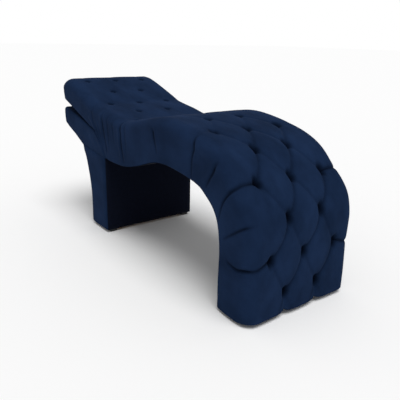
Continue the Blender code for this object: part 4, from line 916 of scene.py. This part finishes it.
def tufted_cloth_grid():
    """Outer and inner points of the tufted cover, its UV map and its painted shade in pits and folds.

    The outer skin is the plain section pushed out by the tufts on top and by the folds on
    the sides. The inner one lies under the lowest point near it, as wadding does, so that it
    never shows through a fold. Rings close the head end, as many as the inner skin needs to
    end on the last row. At the floor its edge rises a little under the last two pleats.
    """
    grid, across, drop, s, run_on = cover_sections()
    height, crease_shade = tuft_height(s, np.clip(grid[..., 1], -TUFT_REACH, TUFT_REACH))
    height = height * (0.12 + 0.88 * step_up(s, *TUFTS_START)) * np.where(run_on > 0, 0.0, 1.0)
    rings = LEAST_RINGS + (1 - len(s)) % EVERY
    grid, across, drop = end_face(grid, across, drop, COVER_LOW_POINT, rings, COVER_BULGE)
    share = np.linspace(0.0, 1.0, rings + 1)[:-1, None]
    height = np.vstack([height[:1] * share, height])
    crease_shade = np.vstack([crease_shade[:1] * share, crease_shade])
    s = np.vstack([(share - 1) * END_RUN + 0 * across[:1], s])
    run_on = np.vstack([0 * share, run_on])
    # The painted shade fades out across the sides, starting further out on the leg.
    shade_from, shade_to = SHADE_ENDS
    shade_from = shade_from + SHADE_MORE * step_up(s, *LEG_WIDENS)
    crease_shade *= 1 - step_up(np.abs(across), shade_from, shade_to)

    plan_x, plan_z = grid[..., 0] + LENGTH / 2, grid[..., 2]
    puff = height * (1 - step_up(np.abs(across), *TUFTS_END))
    puff, crease_shade = worked_sides(puff, crease_shade, plan_x, plan_z, across, drop, s)
    soft = np.sin(s / WAVE_ALONG + 2.0 * np.sin(across / SWAY_ACROSS))
    soft = soft * np.sin(across / WAVE_ACROSS + 1.7 * np.sin(s / SWAY_ALONG))
    puff += WAVES * soft * step_up(s, *WAVES_START)
    puff *= np.where(np.abs(across) > np.abs(across[:, -1:]) - HEM_BAND, HEM_FULLNESS, 1.0)
    puff *= np.where(run_on > 0, 0.0, 1.0)

    level = 1 - step_up(s, SEAT_END - LEVEL_FROM, SEAT_END - LEVEL_TO)
    away = outwards(grid, INSIDE_COVER)
    away[..., 2] *= level
    inner = grid + away * (lowest(puff, EVERY) - WADDING)[..., None]
    outer = grid + away * puff[..., None]
    near_floor = step_up(s, SEAT_END - LIFT_FROM, SEAT_END) * (1 - step_up(run_on, *LIFT_ENDS))
    near_floor = near_floor * (1 - step_up(np.abs(across), *SIDE_STARTS))
    pleats = bell(np.abs(np.abs(outer[..., 1]) - ACROSS / 2), FLOOR_LIFT_WIDE, 1.4)
    lift = near_floor * (FLOOR_LIFT * pleats) - FLOOR_SINK * (1 - level)
    outer[..., 2] += lift
    inner[..., 2] += lift
    return outer, inner, np.stack([s + run_on, across], axis=-1), np.clip(crease_shade, 0.0, 0.95)


cover, wadding, cover_uv, crease_shade = tufted_cloth_grid()
couch_cover = cloth_shell(
    "tufted_cover_cloth", cover, wadding, cover_uv, velvet, crease_shade
)
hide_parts("body_cover", "hinge_gusset", "head_cover")
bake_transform(couch_cover)

# Buttons: pressed shells covered in the same velvet, sewn through the foam on twine and drawn
# down to the floor of their pits.

BUTTON_RADIUS, BUTTON_DOME, BUTTON_LIFT = 0.0100, 0.0042, 0.0020
BACK_SHARES, BACK_LEVELS = (0.0, 0.8, 0.96), (-0.0045, -0.0045, -0.0020)
RIM_POINTS, TURN_POINTS = 7, 25


def buttons(name, chosen):
    """Covered buttons as one mesh: a dome of revolution set on each chosen place.

    The profile rises as a quarter ellipse from a rolled rim, and its axis follows the seat.
    """
    rim = quarter_turn(RIM_POINTS)
    radius = np.append(BACK_SHARES, np.cos(rim)) * BUTTON_RADIUS
    level = np.append(BACK_LEVELS, BUTTON_DOME * np.sin(rim))
    turn = np.linspace(0.0, 2 * np.pi, TURN_POINTS)
    s, y = button_s[chosen], button_y[chosen]
    at, out = on_seat(s)
    floor = tuft_height(s, y)[0] + BUTTON_LIFT
    side_on = radius[None, :, None] * np.cos(turn)[None, None, :]
    cross_on = radius[None, :, None] * np.sin(turn)[None, None, :]
    up = floor[:, None, None] + level[None, :, None] + 0 * side_on
    x = at[:, 0, None, None] + out[:, 0, None, None] * up + out[:, 1, None, None] * side_on
    z = at[:, 1, None, None] + out[:, 1, None, None] * up - out[:, 0, None, None] * side_on
    grid = np.stack([x - LENGTH / 2, y[:, None, None] + cross_on, z], axis=-1)
    index = np.arange(grid[..., 0].size).reshape(grid.shape[:3])
    flat = np.stack([side_on + s[:, None, None], cross_on + y[:, None, None]], axis=-1)
    mesh = cloth_mesh(name, grid.reshape(-1, 3), quads(index).tolist(), flat.reshape(-1, 2))
    return welded(name, mesh, velvet)


HINGE_ROW = 2
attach(buttons("buttons_head", button_row < HINGE_ROW), "head")
hinge_buttons = buttons("buttons_hinge", button_row == HINGE_ROW)
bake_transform(hinge_buttons)
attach(buttons("buttons_body", button_row > HINGE_ROW), "base")

# Feet: black injection-moulded blocks screwed under the pedestal's corners, and small pale
# glides knocked into the foot board.


def moulded(name, dark, light, roughness):
    """Moulded plastic with a spark-eroded grain and a faint change of tone."""
    material = finish(name, light, roughness, Specular_IOR_Level=0.45)
    grain = texture(material, "Noise", Scale=700.0, Detail=2.0)
    tone = texture(material, "Noise", Scale=18.0, Detail=3.0)
    tones(material, tone.outputs["Fac"], dark, light)
    bumped(material, grain.outputs["Fac"], 0.2, 0.0003)
    return material


corners_of = [where + side for where in ("inner_", "outer_") for side in ("near", "far")]
foot_plastic = moulded("foot_plastic", (0.009, 0.009, 0.010), (0.015, 0.015, 0.017), 0.42)
glide_plastic = moulded("glide_plastic", (0.47, 0.47, 0.46), (0.56, 0.56, 0.55), 0.4)
dress(foot_plastic, "foot_plastic", *["pedestal_foot_" + corner for corner in corners_of])
dress(glide_plastic, "glide_plastic", *["foot_glide_" + corner for corner in corners_of])

# Studio: the photograph's viewpoint, a pale floor and soft light from the foot end.

CAMERA_AT = (2.2187, -1.5426, 1.1747)
TURN, DIP, ROLL = math.radians(143.063), math.radians(18.624), math.radians(1.258)
FOCAL_PIXELS, PHOTO_PIXELS, SENSOR = 483.67, 400.0, 36.0
FLOOR_REACH = 60
WORLD_STRENGTH, SUN_STRENGTH, SUN_SPREAD = 0.44, 1.85, math.radians(38.0)
SUN_TOWARDS = (-0.36, 0.08, -0.93)

ahead = Vector((math.cos(TURN) * math.cos(DIP), math.sin(TURN) * math.cos(DIP), -math.sin(DIP)))
level_right = Vector((math.sin(TURN), -math.cos(TURN), 0.0))
level_up = level_right.cross(ahead)
right = level_right * math.cos(ROLL) + level_up * math.sin(ROLL)
upright = level_up * math.cos(ROLL) - level_right * math.sin(ROLL)
camera_data = bpy.data.cameras.new("studio_camera")
camera_data.lens = FOCAL_PIXELS / PHOTO_PIXELS * SENSOR
camera_data.sensor_width = SENSOR
camera = placed_object("studio_camera", camera_data)
turned_to = Matrix((right, upright, -ahead)).transposed().to_4x4()
camera.matrix_world = Matrix.Translation(CAMERA_AT) @ turned_to
bpy.context.scene.camera = camera

floor_mesh = bpy.data.meshes.new("studio_floor")
floor_corners = [(x * FLOOR_REACH, y * FLOOR_REACH, 0) for x, y in ((-1, -1), (1, -1), (1, 1), (-1, 1))]
floor_mesh.from_pydata(floor_corners, [], [(0, 1, 2, 3)])
floor_mesh.materials.append(finish("studio_floor", (0.99, 0.99, 0.99), 0.9, Specular_IOR_Level=0.0))
placed_object("studio_floor", floor_mesh)

# The world lights the couch softly, and is plain white where the camera, a reflection or a
# see-through piece looks straight at it.
WHITE = (1.0, 1.0, 1.0, 1.0)
world = bpy.data.worlds.new("studio_world")
bpy.context.scene.world = world
world.use_nodes = True
background = world.node_tree.nodes["Background"]
background.inputs["Color"].default_value = WHITE
background.inputs["Strength"].default_value = WORLD_STRENGTH
seen = node(world, "ShaderNodeBackground", {"Color": WHITE, "Strength": 1.0})
path = node(world, "ShaderNodeLightPath")
straight = path.outputs["Is Camera Ray"]
for ray in ("Is Glossy Ray", "Is Transmission Ray"):
    either = node(world, "ShaderNodeMath", operation="MAXIMUM")
    join(world, (straight, either.inputs[0]), (path.outputs[ray], either.inputs[1]))
    straight = either.outputs[0]
mix = node(world, "ShaderNodeMixShader")
join(
    world, (straight, mix.inputs["Fac"]),
    (background.outputs[0], mix.inputs[1]), (seen.outputs[0], mix.inputs[2]),
    (mix.outputs[0], world.node_tree.nodes["World Output"].inputs["Surface"]),
)

lamp = bpy.data.lights.new("softbox", "SUN")
lamp.energy = SUN_STRENGTH
lamp.angle = SUN_SPREAD
placed_object("softbox", lamp).rotation_euler = Vector(SUN_TOWARDS).to_track_quat("-Z", "Y").to_euler()

bpy.context.scene.view_settings.view_transform = "Standard"
